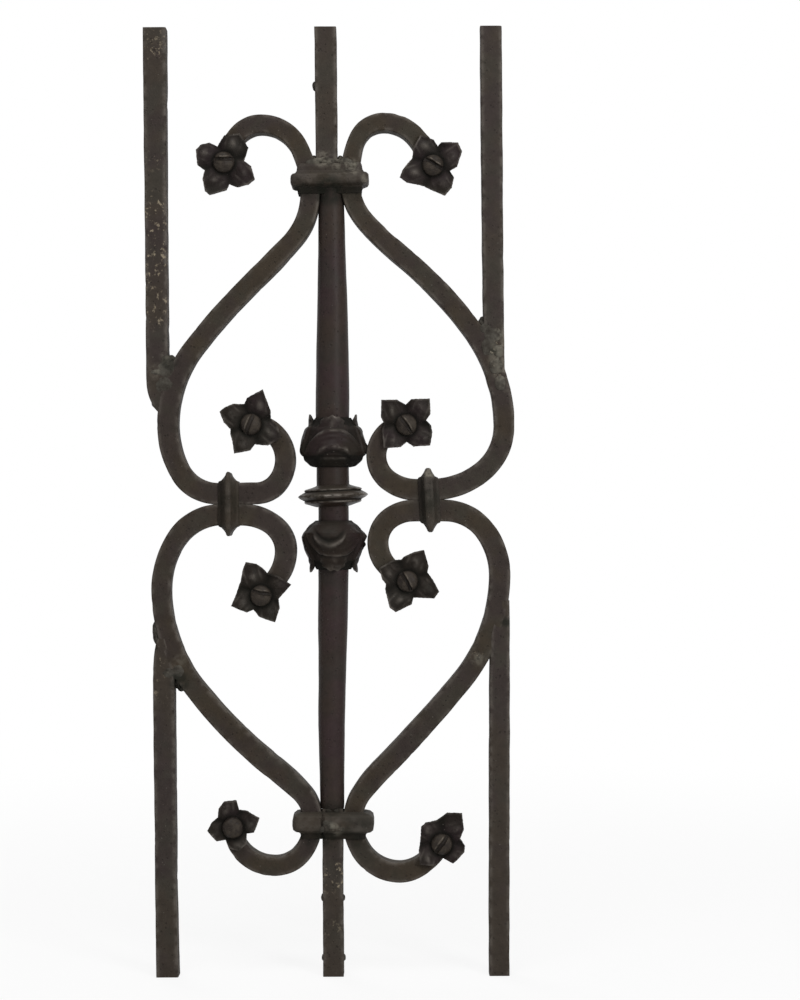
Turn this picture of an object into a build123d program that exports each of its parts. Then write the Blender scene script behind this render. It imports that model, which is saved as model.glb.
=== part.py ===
from build123d import *
from dataclasses import dataclass
from math import cos, radians, sin, sqrt, tan
import os

# The panel, in millimetres: X runs along the grille, Y from its front to its back, Z up.
# The origin is the centre of the centre bar's foot.
panel_height = 572.3
bar = 12.7
bar_edge = 0.7
bar_pitch = 101.6

# The middle of the ornament, and the two side joints where upper and lower scrolls touch
middle_height = 285.8
left_joint_drop = 0.9
right_joint_rise = 1.0

# Each side bar leans a little: how far its ends stand from the pitch line
bar_wander = {
    "upper_left": {"foot": 2.9, "head": 4.4},
    "upper_right": {"foot": -3.1, "head": -4.1},
    "lower_left": {"foot": -1.6, "head": 0.3},
    "lower_right": {"foot": -1.5, "head": -0.3},
}
centre_head_lean = -2.4
centre_joint_lean = -1.8
scarf_drop = 8.0

# The tapered round stem of the baluster, a little right of the panel's axis
baluster_offset = 0.9
stem_foot_lean = -1.4
stem_top_radius = 7.5
stem_upper_shoulder_radius = 10.2
stem_waist_radius = 9.4
stem_lower_shoulder_radius = 9.2
stem_foot_radius = 7.0
stem_foot_gap = 3.0
slip_clearance = 0.05

# The disc at the stem's waist
disc_rise = 3.9
disc_radius = 21.2
disc_rim = 0.8
disc_body = 5.8
disc_ledge_radius = 17.3
disc_ledge_rim = 0.9
disc_ledge_slope = 2.6
disc_neck = 1.2
disc_tilt = -3.0

# The two leafy knops
knop_rise = 17.6
knop_radius = 18.0
knop_widest_rise = 9.8
knop_bowl_swell = 3.9
knop_bowl_rise = 3.1
knop_flank_swell = 1.3
knop_shoulder_radius = 15.2
knop_shoulder_rise = 23.5
knop_top_rise = 28.0
knop_base_radius = 10.4
leaf_count = 4
leaf_layer = 1.1
leaf_half_width = 13.2
leaf_root_half_width = 9.9
leaf_rise = 25.0
fold_layer = 0.8
fold_half_width = 8.5
fold_rise = 20.5
fold_width = 3.4
tip_rise = 31.5
tip_radius = 14.2
tip_root_radius = 11.4
tip_root_rise = 20.0
tip_half_width = 7.5
tip_waist_half_width = 6.8
tip_sheet = 1.5

# The bindings round both scrolls and the axis, and the clips at the side joints
neck_reach = 17.6
top_binding_rise = 194.7
top_binding_height = 20.0
top_ridge_height = 8.0
bottom_binding_drop = 194.8
bottom_binding_height = 16.5
bottom_ridge_height = 11.3
binding_land = 2.4
binding_ridge = 6.5
ridge_shoulder = 0.6
binding_split_reach = -6.0
binding_split = 0.5
left_clip_reach = 61.7
right_clip_reach = 59.3
clip_width = 12.7
clip_land = 1.4
clip_ridge = 6.7
clip_ridge_width = 4.4

# The sheet rosettes and the round-head screws that hold them
rosette_side = 31.0
rosette_sheet = 1.5
rosette_notch_width = 10.0
rosette_notch_depth = 4.2
rosette_reach = 24.0
petal_lift = 11.0
petal_tip_round = 2.0
petal_boss_reach = 13.4
petal_boss_radius = 4.5
petal_boss_top_radius = 2.5
petal_boss_height = 2.2
screw_head_radius = 6.5
screw_head_height = 3.6
screw_shank_radius = 2.4
screw_depth = 8.0
slot_width = 2.0
slot_depth = 1.6


@dataclass
class Turn:
    """A place on a scroll's centreline: out from the axis, away from the joint, bar width."""
    reach: float
    rise: float
    width: float


@dataclass
class Forging:
    """One hand-forged C-scroll, from its curled end through the joint to its hooked end."""
    side: int
    way: int
    curl_eye: Turn
    curl_heading: float
    curl: Turn
    joint_start: float
    joint_end: float
    lobe_wander: float
    lobe_rise: float
    lobe_width: float
    flank: Turn
    flank_slope: float
    neck_rise: float
    crown: Turn
    hook_eye: Turn
    hook_heading: float
    curl_rosette_turn: float
    curl_slot_turn: float
    hook_rosette_turn: float
    hook_slot_turn: float


forgings = {
    "upper_left": Forging(
        side=-1, way=1,
        curl_eye=Turn(48.0, 47.9, 12.2), curl_heading=-1.0, curl=Turn(27.7, 26.5, 11.9),
        joint_start=45.5, joint_end=69.1,
        lobe_wander=-3.2, lobe_rise=47.7, lobe_width=12.3,
        flank=Turn(46.0, 135.0, 11.6), flank_slope=44.2, neck_rise=187.0,
        crown=Turn(41.4, 229.2, 10.8), hook_eye=Turn(63.7, 205.5, 10.8), hook_heading=79.0,
        curl_rosette_turn=65.0, curl_slot_turn=100.0,
        hook_rosette_turn=63.0, hook_slot_turn=0.0,
    ),
    "upper_right": Forging(
        side=1, way=1,
        curl_eye=Turn(45.4, 45.3, 12.2), curl_heading=1.0, curl=Turn(27.2, 27.0, 11.7),
        joint_start=51.1, joint_end=60.6,
        lobe_wander=2.9, lobe_rise=44.7, lobe_width=11.9,
        flank=Turn(42.0, 148.5, 11.5), flank_slope=39.5, neck_rise=193.0,
        crown=Turn(32.3, 228.1, 10.4), hook_eye=Turn(62.1, 201.2, 12.0), hook_heading=73.0,
        curl_rosette_turn=46.5, curl_slot_turn=-55.0,
        hook_rosette_turn=23.5, hook_slot_turn=-30.0,
    ),
    "lower_left": Forging(
        side=-1, way=-1,
        curl_eye=Turn(42.5, 55.2, 12.2), curl_heading=42.0, curl=Turn(27.7, 28.7, 12.8),
        joint_start=54.2, joint_end=66.6,
        lobe_wander=1.2, lobe_rise=51.3, lobe_width=11.2,
        flank=Turn(34.3, 160.2, 13.0), flank_slope=38.2, neck_rise=191.5,
        crown=Turn(34.8, 218.6, 10.7), hook_eye=Turn(60.1, 194.7, 10.2), hook_heading=92.0,
        curl_rosette_turn=23.0, curl_slot_turn=80.0,
        hook_rosette_turn=19.0, hook_slot_turn=35.0,
    ),
    "lower_right": Forging(
        side=1, way=-1,
        curl_eye=Turn(45.7, 48.8, 11.8), curl_heading=26.0, curl=Turn(27.9, 25.7, 12.2),
        joint_start=48.9, joint_end=68.0,
        lobe_wander=-0.2, lobe_rise=45.0, lobe_width=12.2,
        flank=Turn(29.5, 162.6, 12.6), flank_slope=45.0, neck_rise=194.0,
        crown=Turn(40.0, 224.5, 11.4), hook_eye=Turn(65.6, 207.0, 11.0), hook_heading=59.0,
        curl_rosette_turn=67.5, curl_slot_turn=-60.0,
        hook_rosette_turn=45.5, hook_slot_turn=10.0,
    ),
}


def joint_height(side):
    """Where the scrolls of one side touch: the left joint sits lower than the right."""
    if side < 0:
        return middle_height - left_joint_drop
    return middle_height + right_joint_rise


def heading(degrees):
    """A direction in a forging's own plane, from outward (0) to away from the joint (90)."""
    return Vector(cos(radians(degrees)), 0, sin(radians(degrees)))


def bend(start, direction, end):
    """An arc that leaves start along direction, or a straight where the two are in line."""
    chord = (end - start).normalized()
    if chord.cross(direction).length < 1e-4:
        return Line(start, end)
    return TangentArc(start, end, tangent=direction)


def double_bend(start, leaving, end, arriving):
    """Two arcs that join smoothly and keep the direction given at each end."""
    way = end - start
    spread = 2 * (1 - leaving.dot(arriving))
    reach = way.dot(leaving + arriving)
    if spread < 1e-9:
        step = way.dot(way) / (2 * reach)
    else:
        step = (sqrt(reach * reach + spread * way.dot(way)) - reach) / spread
    middle = (start + end + (leaving - arriving) * step) / 2
    first = bend(start, leaving, middle)
    return [first, bend(middle, first % 1, end)]


def scroll_stations(form):
    """Each place where the bar turns, as its point, its direction and its width."""
    neck_width = neck_reach - bar / 2
    lobe_reach = bar_pitch + form.lobe_wander
    places = [
        (form.curl_eye.reach, form.curl_eye.rise, 180 + form.curl_heading, form.curl_eye.width),
        (form.curl.reach, form.curl.rise, -90, form.curl.width),
        (form.joint_start, bar / 2, 0, bar),
        (form.joint_end, bar / 2, 0, bar),
        (lobe_reach, form.lobe_rise, 90, form.lobe_width),
        (form.flank.reach, form.flank.rise, 180 - form.flank_slope, form.flank.width),
        (neck_reach - neck_width / 2, form.neck_rise, 90, neck_width),
        (form.crown.reach, form.crown.rise, 0, form.crown.width),
        (form.hook_eye.reach, form.hook_eye.rise, -form.hook_heading, form.hook_eye.width),
    ]
    return [(Vector(reach, 0, rise), heading(turn), width) for reach, rise, turn, width in places]


def edge_line(stations, hand):
    """The bar's edge on one hand of its centreline, as a chain of arcs."""
    points = []
    for place, along, width in stations:
        across = along.rotate(Axis.Y, -90)
        points.append((place + across * (hand * width / 2), along))
    arcs = []
    for (start, leaving), (end, arriving) in zip(points, points[1:]):
        arcs += double_bend(start, leaving, end, arriving)
    return arcs


def round_end(station, near, far, sense):
    """The half-round end past a screw."""
    place, along, width = station
    return ThreePointArc(near, place + along * (sense * width / 2), far)


def set_in_place(form, solid):
    """Turn a forging from its own plane to its corner of the panel."""
    if form.side < 0:
        solid = mirror(solid, about=Plane.YZ)
    if form.way < 0:
        solid = mirror(solid, about=Plane.XY)
    return Pos(0, 0, joint_height(form.side)) * solid


def scroll_eye(form, eye):
    """The place of a screw on a scroll's front face, facing the front."""
    x = form.side * eye.reach
    z = joint_height(form.side) + form.way * eye.rise
    return Plane(origin=(x, -bar / 2, z), x_dir=(1, 0, 0), z_dir=(0, -1, 0))


def largest(shape):
    return shape.solids().sort_by(SortBy.VOLUME)[-1]


def forged_scroll(form, centre_solids):
    """A bar bent flat to its outline, set against the centre and drilled for two screws."""
    stations = scroll_stations(form)
    outer = edge_line(stations, 1)
    inner = edge_line(stations, -1)
    curl_end = round_end(stations[0], outer[0] @ 0, inner[0] @ 0, -1)
    hook_end = round_end(stations[-1], outer[-1] @ 1, inner[-1] @ 1, 1)
    outline = make_face(outer + inner + [curl_end, hook_end])
    blank = extrude(outline, amount=bar / 2, both=True)
    rims = blank.faces().filter_by(Axis.Y).edges()
    scroll = set_in_place(form, chamfer(rims, bar_edge))
    for solid in centre_solids:
        scroll -= solid
    hole = Cylinder(screw_shank_radius + slip_clearance, 2 * screw_depth)
    for eye in (form.curl_eye, form.hook_eye):
        scroll -= scroll_eye(form, eye) * hole
    return largest(scroll)


def square_bar(foot_x, foot_z, head_x, head_z):
    """A bar with level ends and eased edges, which may lean sideways."""
    half = bar / 2
    corners = [
        (foot_x - half, foot_z),
        (foot_x + half, foot_z),
        (head_x + half, head_z),
        (head_x - half, head_z),
    ]
    face = Plane.XZ * make_face(Polyline(*corners, close=True))
    blank = extrude(face, amount=half, both=True)
    level = blank.edges().filter_by(Plane.XY)
    long_edges = [edge for edge in blank.edges() if edge not in level]
    return chamfer(long_edges, bar_edge)


def side_bar(name, scroll):
    """A bar between the panel's edge and the back of a scroll's lobe, scarfed on to it."""
    form = forgings[name]
    wander = bar_wander[name]
    foot_x = form.side * (bar_pitch + wander["foot"])
    head_x = form.side * (bar_pitch + wander["head"])
    weld_height = joint_height(form.side) + form.way * (form.lobe_rise + scarf_drop)
    if form.way > 0:
        blank = square_bar(foot_x, weld_height, head_x, panel_height)
    else:
        blank = square_bar(foot_x, 0, head_x, weld_height)
    return largest(blank - scroll)


def top_binding_height_above_foot():
    return middle_height + top_binding_rise


def bottom_binding_height_above_foot():
    return middle_height - bottom_binding_drop


def stem_foot_height():
    """The stem stands a little above the bottom binding."""
    return bottom_binding_height_above_foot() + bottom_binding_height / 2 + stem_foot_gap


def waist_middle():
    return middle_height + disc_rise


def taper(*ends):
    """A round taper between two levels, each given as its height, its centre and its radius."""
    return loft([Pos(x, 0, height) * Circle(radius) for height, x, radius in ends], ruled=True)


def baluster_stem():
    """The stem tapers both ways from its waist, which is parallel under knops and disc."""
    waist_half = knop_rise + knop_top_rise
    lower_shoulder = waist_middle() - waist_half
    upper_shoulder = waist_middle() + waist_half
    waist = Pos(baluster_offset, 0, waist_middle()) * Cylinder(stem_waist_radius, 2 * waist_half)
    lower = taper(
        (stem_foot_height(), baluster_offset + stem_foot_lean, stem_foot_radius),
        (lower_shoulder, baluster_offset, stem_lower_shoulder_radius),
    )
    upper = taper(
        (upper_shoulder, baluster_offset, stem_upper_shoulder_radius),
        (top_binding_height_above_foot(), baluster_offset, stem_top_radius),
    )
    return lower + waist + upper


def waist_bore(length):
    return Cylinder(stem_waist_radius + slip_clearance, length)


def waist_disc():
    """A sharp-edged double bevel that steps in to a ledge above and below, a little tilted."""
    half_rim = disc_rim / 2
    half_body = disc_body / 2
    ledge_top = half_body + disc_ledge_rim
    half_height = ledge_top + disc_ledge_slope
    neck = stem_waist_radius + disc_neck
    upper = [
        (disc_radius, half_rim),
        (disc_ledge_radius, half_body),
        (disc_ledge_radius, ledge_top),
        (neck, half_height),
        (0, half_height),
    ]
    lower = [(radius, -rise) for radius, rise in reversed(upper)]
    face = Plane.XZ * make_face(Polyline(*lower, *upper, close=True))
    disc = Rot(0, disc_tilt, 0) * revolve(face, axis=Axis.Z) - waist_bore(3 * half_height)
    return Pos(baluster_offset, 0, waist_middle()) * disc


def cup(layer):
    """The knop's body of revolution, thickened outward by a layer of leaf."""
    base = knop_base_radius + layer
    widest = knop_radius + layer
    shoulder = knop_shoulder_radius + layer
    bowl_middle = ((base + widest) / 2 + knop_bowl_swell, knop_bowl_rise)
    flank_middle = (
        (widest + shoulder) / 2 + knop_flank_swell,
        (knop_widest_rise + knop_shoulder_rise) / 2,
    )
    lines = [
        Line((0, 0), (base, 0)),
        ThreePointArc((base, 0), bowl_middle, (widest, knop_widest_rise)),
        ThreePointArc((widest, knop_widest_rise), flank_middle, (shoulder, knop_shoulder_rise)),
        Line((shoulder, knop_shoulder_rise), (base, knop_top_rise)),
        Line((base, knop_top_rise), (0, knop_top_rise)),
        Line((0, knop_top_rise), (0, 0)),
    ]
    return revolve(Plane.XZ * make_face(lines), axis=Axis.Z)


def outward(face):
    """A flat outline pushed from the axis towards the front, to cut one leaf from a layer."""
    return extrude(Plane.XZ * face, amount=2 * knop_radius)


def leaf_outline():
    """A broad leaf with a round top."""
    half = leaf_half_width
    root = leaf_root_half_width
    return make_face([
        Line((-root, 0), (root, 0)),
        Line((root, 0), (half, knop_widest_rise)),
        ThreePointArc((half, knop_widest_rise), (0, leaf_rise), (-half, knop_widest_rise)),
        Line((-half, knop_widest_rise), (-root, 0)),
    ])


def fold_outline():
    """The crescent where a leaf folds over on itself."""
    low = fold_rise - 2 * fold_width
    ends = [(-fold_half_width, low), (fold_half_width, low)]
    return make_face([
        ThreePointArc(ends[0], (0, fold_rise), ends[1]),
        ThreePointArc(ends[0], (0, fold_rise - fold_width), ends[1]),
    ])


def tip_outline():
    """A pointed leaf tip that stands up from the shoulder."""
    waist = (tip_root_rise + tip_rise) / 2
    return make_face(Polyline(
        (-tip_half_width, tip_root_rise),
        (tip_half_width, tip_root_rise),
        (tip_waist_half_width, waist),
        (0, tip_rise),
        (-tip_waist_half_width, waist),
        close=True,
    ))


def tip_layer():
    """The thin flared shell that the leaf tips are cut from."""
    section = Polyline(
        (tip_root_radius, tip_root_rise),
        (tip_root_radius + tip_sheet, tip_root_rise),
        (tip_radius, tip_rise),
        (tip_radius - tip_sheet, tip_rise),
        close=True,
    )
    return revolve(Plane.XZ * make_face(section), axis=Axis.Z)


def knop(way):
    """A cup wrapped in broad folded leaves, with pointed tips turned away from the disc."""
    leaf = (cup(leaf_layer) & outward(leaf_outline())) + (
        cup(leaf_layer + fold_layer) & outward(fold_outline()))
    tip = tip_layer() & outward(tip_outline())
    body = cup(0)
    for place in range(leaf_count):
        body += Rot(0, 0, 360 / leaf_count * place) * (leaf + tip)
    body -= Pos(0, 0, knop_top_rise / 2) * waist_bore(knop_top_rise)
    body -= Pos(0, 0, knop_top_rise + tip_rise / 2) * Cylinder(
        stem_upper_shoulder_radius + slip_clearance, tip_rise)
    if way < 0:
        body = mirror(body, about=Plane.XY)
    return Pos(baluster_offset, 0, waist_middle() + way * knop_rise) * largest(body)


def moulding(inner_half, length, land, ridge, ridge_length):
    """A collar's long section: flat lands, sloping shoulders and a round ridge."""
    half = length / 2
    half_ridge = ridge_length / 2
    shoulder = inner_half + land + (ridge - land) * ridge_shoulder
    top = inner_half + ridge
    edge = inner_half + land
    lines = [
        Line((-half, 0), (-half, edge)),
        Line((-half, edge), (-half_ridge, shoulder)),
        ThreePointArc((-half_ridge, shoulder), (0, top), (half_ridge, shoulder)),
        Line((half_ridge, shoulder), (half, edge)),
        Line((half, edge), (half, 0)),
        Line((half, 0), (-half, 0)),
    ]
    upper = make_face(lines)
    return upper + mirror(upper, about=Plane.XZ)


def moulded_block(half_width, half_depth, length, land, ridge, ridge_length):
    """The moulding mitred round a rectangle, before the bars are cut out of it."""
    reach = 4 * (half_width + ridge)
    wide = moulding(half_width, length, land, ridge, ridge_length)
    deep = moulding(half_depth, length, land, ridge, ridge_length)
    along_axis = Plane(origin=(0, 0, 0), x_dir=(0, 0, 1), z_dir=(0, 1, 0))
    across_axis = Plane(origin=(0, 0, 0), x_dir=(0, 0, 1), z_dir=(1, 0, 0))
    side_cut = extrude(along_axis * wide, amount=reach, both=True)
    front_cut = extrude(across_axis * deep, amount=reach, both=True)
    return side_cut & front_cut


def binding(height, length, ridge_length, bars, bound_box):
    """The collar round both scrolls and the axis."""
    block = moulded_block(neck_reach, bar / 2, length, binding_land, binding_ridge, ridge_length)
    ring = Pos(0, 0, height) * (block - Box(*bound_box, 2 * length))
    for solid in bars:
        ring -= solid
    return largest(ring)


def side_clip(side, scrolls):
    """The collar round an upper and a lower scroll."""
    reach = left_clip_reach if side < 0 else right_clip_reach
    block = moulded_block(bar, bar / 2, clip_width, clip_land, clip_ridge, clip_ridge_width)
    ring = Rot(0, 90, 0) * block - Box(2 * clip_width, bar, 2 * bar)
    ring = Pos(side * reach, 0, joint_height(side)) * ring
    for solid in scrolls:
        ring -= solid
    return largest(ring)


def rosette_outline():
    """A square of sheet with a notch in the middle of each side."""
    half = rosette_side / 2
    half_notch = rosette_notch_width / 2
    quarter = [(half, half), (half_notch, half), (0, half - rosette_notch_depth), (-half_notch, half)]
    points = []
    for turn in range(4):
        points += [Vector(*point).rotate(Axis.Z, 90 * turn) for point in quarter]
    sheet = make_face(Polyline(*points, close=True))
    tips = sheet.vertices().sort_by(SortBy.DISTANCE)[-4:]
    return fillet(tips, petal_tip_round)


def petal_dish(lift):
    """The hollow above four tilted petals, raised by lift."""
    rise = (rosette_reach - screw_head_radius) * tan(radians(petal_lift))
    low = Rot(0, 0, 45) * Rectangle(2 * screw_head_radius, 2 * screw_head_radius)
    high = Rot(0, 0, 45) * Rectangle(2 * rosette_reach, 2 * rosette_reach)
    return loft([Pos(0, 0, lift) * low, Pos(0, 0, lift + rise) * high], ruled=True)


def rosette():
    """Four petals bent up from a flat seat, each with a pressed boss."""
    rise = (petal_boss_reach - screw_head_radius) * tan(radians(petal_lift))
    layer = petal_dish(0) - petal_dish(rosette_sheet)
    sheet = layer & extrude(rosette_outline(), amount=rosette_side)
    boss = Pos(0, 0, petal_boss_height / 2) * Cone(
        petal_boss_radius, petal_boss_top_radius, petal_boss_height + rosette_sheet)
    for turn in range(4):
        seat = Rot(0, 0, 45 + 90 * turn) * Pos(petal_boss_reach, 0, rosette_sheet / 2 + rise)
        sheet += seat * Rot(0, -petal_lift, 0) * boss
    spot_face = extrude(Circle(screw_head_radius + slip_clearance), amount=rosette_side)
    sheet -= Pos(0, 0, rosette_sheet) * spot_face
    sheet -= Cylinder(screw_shank_radius + slip_clearance, 4 * rosette_sheet)
    return largest(sheet)


def round_head_screw(turn):
    """A slotted round head on a plain shank, seated on the rosette."""
    cap_radius = (screw_head_radius**2 + screw_head_height**2) / (2 * screw_head_height)
    head = Pos(0, 0, screw_head_height - cap_radius) * Sphere(cap_radius)
    head &= Pos(0, 0, screw_head_height / 2) * Cylinder(cap_radius, screw_head_height)
    slot = Pos(0, 0, screw_head_height) * Box(4 * screw_head_radius, slot_width, 2 * slot_depth)
    head -= Rot(0, 0, turn) * slot
    shank_length = rosette_sheet + screw_depth - slip_clearance
    shank = Pos(0, 0, -shank_length / 2) * Cylinder(screw_shank_radius, shank_length)
    return Pos(0, 0, rosette_sheet) * (head + shank)


def centre_pieces():
    """What stands on the axis: the bar's two ends and the turned stem between them."""
    top = top_binding_height_above_foot()
    return {
        "centre_bar_upper": square_bar(centre_joint_lean, top, centre_head_lean, panel_height),
        "centre_bar_lower": square_bar(0, 0, 0, stem_foot_height()),
        "baluster_stem": baluster_stem(),
    }


def end_pieces(name, form):
    """The rosette and the screw on each end of a scroll."""
    hook = scroll_eye(form, form.hook_eye)
    curl = scroll_eye(form, form.curl_eye)
    return {
        "rosette_hook_" + name: hook * Rot(0, 0, form.hook_rosette_turn - 45) * rosette(),
        "rosette_curl_" + name: curl * Rot(0, 0, form.curl_rosette_turn - 45) * rosette(),
        "screw_hook_" + name: hook * round_head_screw(form.hook_slot_turn),
        "screw_curl_" + name: curl * round_head_screw(form.curl_slot_turn),
    }


def collars(scrolls, centre):
    """The four bound joints; the bottom binding's ends meet at its front."""
    top = top_binding_height_above_foot()
    bottom = bottom_binding_height_above_foot()
    bound_box = (2 * neck_reach, bar)
    uppers = [scrolls["upper_left"], scrolls["upper_right"]] + centre
    lowers = [scrolls["lower_left"], scrolls["lower_right"]] + centre
    split = Pos(binding_split_reach, -bar, bottom) * Box(binding_split, bar, 2 * bottom_binding_height)
    lower_ring = binding(bottom, bottom_binding_height, bottom_ridge_height, lowers, bound_box)
    return {
        "collar_top": binding(top, top_binding_height, top_ridge_height, uppers, bound_box),
        "collar_bottom": largest(lower_ring - split),
        "collar_left": side_clip(-1, [scrolls["upper_left"], scrolls["lower_left"]]),
        "collar_right": side_clip(1, [scrolls["upper_right"], scrolls["lower_right"]]),
    }


def build_panel():
    """Every piece of the panel, by name."""
    pieces = centre_pieces()
    centre = list(pieces.values())
    filed_flat = Pos(0, 0, panel_height / 2) * Box(bar, 2 * bar, panel_height)
    scrolls = {}
    for name, form in forgings.items():
        scrolls[name] = forged_scroll(form, centre + [filed_flat])
        pieces["scroll_" + name] = scrolls[name]
        pieces["bar_" + name] = side_bar(name, scrolls[name])
        pieces.update(end_pieces(name, form))
    pieces["baluster_disc"] = waist_disc()
    pieces["knop_upper"] = knop(1)
    pieces["knop_lower"] = knop(-1)
    pieces.update(collars(scrolls, centre))
    return pieces


os.makedirs("parts", exist_ok=True)
for name, piece in build_panel().items():
    export_step(piece, "parts/" + name + ".step")
    print(name, round(piece.volume, 1))
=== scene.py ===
from dataclasses import dataclass
from math import ceil, cos, hypot, pi, radians, sin, sqrt

import bpy
import numpy as np
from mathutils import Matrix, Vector, noise


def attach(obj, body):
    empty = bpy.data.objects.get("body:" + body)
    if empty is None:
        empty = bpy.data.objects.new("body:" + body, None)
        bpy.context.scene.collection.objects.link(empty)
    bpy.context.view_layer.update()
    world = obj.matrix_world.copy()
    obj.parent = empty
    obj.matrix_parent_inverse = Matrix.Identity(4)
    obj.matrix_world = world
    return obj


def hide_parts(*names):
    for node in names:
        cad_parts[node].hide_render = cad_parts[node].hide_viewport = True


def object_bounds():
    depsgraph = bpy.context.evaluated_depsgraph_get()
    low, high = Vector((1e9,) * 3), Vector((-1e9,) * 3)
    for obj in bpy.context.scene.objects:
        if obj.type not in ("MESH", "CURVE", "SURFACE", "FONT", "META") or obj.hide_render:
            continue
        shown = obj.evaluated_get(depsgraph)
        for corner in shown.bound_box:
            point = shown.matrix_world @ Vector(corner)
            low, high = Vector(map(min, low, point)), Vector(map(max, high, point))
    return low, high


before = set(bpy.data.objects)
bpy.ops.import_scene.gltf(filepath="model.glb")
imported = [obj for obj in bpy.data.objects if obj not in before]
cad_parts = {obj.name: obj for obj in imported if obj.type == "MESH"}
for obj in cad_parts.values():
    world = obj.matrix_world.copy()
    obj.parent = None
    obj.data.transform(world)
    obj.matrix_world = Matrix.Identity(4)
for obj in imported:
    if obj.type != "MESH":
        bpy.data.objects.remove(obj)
cad_low, cad_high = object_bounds()

# Sizes are in millimetres, as in the panel's source, and meshes are written in metres
MM = 0.001
box_low = np.array(cad_low) / MM
box_high = np.array(cad_high) / MM
# Every point stays this far inside the panel's own box
box_margin = 0.01

bar = 12.7
bar_pitch = 101.6
neck_reach = 17.6
panel_height = 572.3
joint_height = {-1: 284.9, 1: 286.8}
top_collar_height = 480.5
bottom_collar_height = 91.0
waist_height = 289.7
baluster_offset = 0.9
stem_shown_top = 470
knop_rise = 17.6
rosette_sheet = 1.5
disc_tilt = 0.042


def placed(name, data):
    """A new object in the scene, of a mesh, a lamp or a camera."""
    body = bpy.data.objects.new(name, data)
    bpy.context.scene.collection.objects.link(body)
    return body


def facing_out(verts, faces):
    """The faces, turned round if they enclose a negative volume."""
    fans = np.array([(face[0], *pair) for face in faces for pair in zip(face[1:], face[2:])])
    first, second, third = np.asarray(verts)[fans].transpose(1, 0, 2)
    volume = np.sum(first * np.cross(second, third))
    return [tuple(reversed(face)) for face in faces] if volume < 0 else faces


def draft(name, node, slot, finish, verts, faces, crease=40, **marks):
    """A finished piece: its mesh in metres, its marks for the finish, and what it stands for."""
    inside = np.clip(np.asarray(verts), box_low + box_margin, box_high - box_margin)
    mesh = bpy.data.meshes.new(name)
    mesh.from_pydata((inside * MM).tolist(), [], [list(face) for face in facing_out(verts, faces)])
    mesh.validate()
    mesh.shade_smooth()
    mesh.set_sharp_from_angle(angle=radians(crease))
    for mark, amounts in {**site_marks(inside), **marks}.items():
        attribute = mesh.attributes.new(mark, "FLOAT", "POINT")
        attribute.data.foreach_set("value", np.asarray(amounts, np.float32))
    mesh.materials.append(finish)
    piece = placed(name, mesh)
    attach(piece, "root")
    if node:
        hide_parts(node)


def smooth(low, high, value):
    """0 at low, 1 at high, and a soft rise or fall between."""
    share = np.clip((np.asarray(value, float) - low) / (high - low), 0, 1)
    return share * share * (3 - 2 * share)


def bell(value, width):
    """1 where the value is 0, falling away softly over about the width."""
    return np.exp(-(value / width) ** 2)


def bumps(points, size, seed):
    """Soft random relief from -1 to 1, whose hills are about size across."""
    shift = Vector((seed * 13.7, seed * 5.3, seed * 9.1))
    return np.array([noise.noise(Vector(point) / size + shift) for point in points])


# Where old paint and caulk show, and where rust, weld, grime and painted shade darken the iron under the
# collars and at the joints: X and Z of the place, its radius and its strength
sites = {
    "paint": [
        (-106, 562, 14, 0.5), (-105, 493, 9, 0.5), (-105, 458, 20, 0.8), (-104, 432, 20, 0.8),
        (-104, 406, 20, 0.7), (-108, 186, 12, 0.5), (-107, 168, 10, 0.4), (0, 60, 13, 0.7),
        (0, 30, 10, 0.3), (103, 388, 5, 0.6), (101, 377, 7, 0.8), (102, 366, 7, 0.7), (88, 192, 5, 0.8),
    ],
    "caulk": [
        (59, 304, 6, 1.0), (13, 487, 7, 0.8), (-4, 492, 7, 0.7), (4, 490, 6, 0.6), (2, 90, 6, 0.6),
        (103, 388, 6, 0.5), (102, 380, 7, 0.5), (101, 372, 8, 0.5), (103, 363, 7, 0.5), (105, 355, 5, 0.3),
        (-98, 374, 6, 0.4), (-105, 365, 6, 0.45), (-92, 190, 6, 0.3), (88, 191, 5, 0.4),
        (-28, 481, 4, 0.6), (22, 480, 4, 0.8),
    ],
    # Grime together with painted shade: most of these places lie under the collars, by the clips and round
    # the welded joints.
    "grime_and_painted_shade": [
        (-97, 370, 7, 0.6), (-92, 178, 8, 0.9), (0, 473, 12, 0.9), (-5, 84, 10, 0.7), (-16, 472, 8, 0.6),
        (14, 472, 8, 0.5), (105, 213, 4, 1.0), (-108, 198, 4, 1.0), (-61, 285, 9, 0.5), (59, 287, 9, 0.5),
        (-13, 82, 6, 0.5), (15, 82, 6, 0.5), (98, 376, 3, 0.8), (0, 101, 7, 0.6),
        (9, 88, 5, 0.5), (-19, 86, 5, 0.4), (20, 93, 4, 0.4), (-20, 478, 4, 0.4),
    ],
}


def site_marks(points):
    """How much each point lies in the places of old paint, of caulk, and of grime with painted shade."""
    marks = {}
    for mark, places in sites.items():
        amount = np.zeros(len(points))
        for x, z, radius, strength in places:
            distance = np.hypot(points[:, 0] - x, points[:, 2] - z)
            amount = np.maximum(amount, strength * (1 - smooth(radius * 0.45, radius, distance)))
        marks[mark] = amount
    return marks


# How many steps round off each edge of a bar's section
corner_steps = 4


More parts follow.
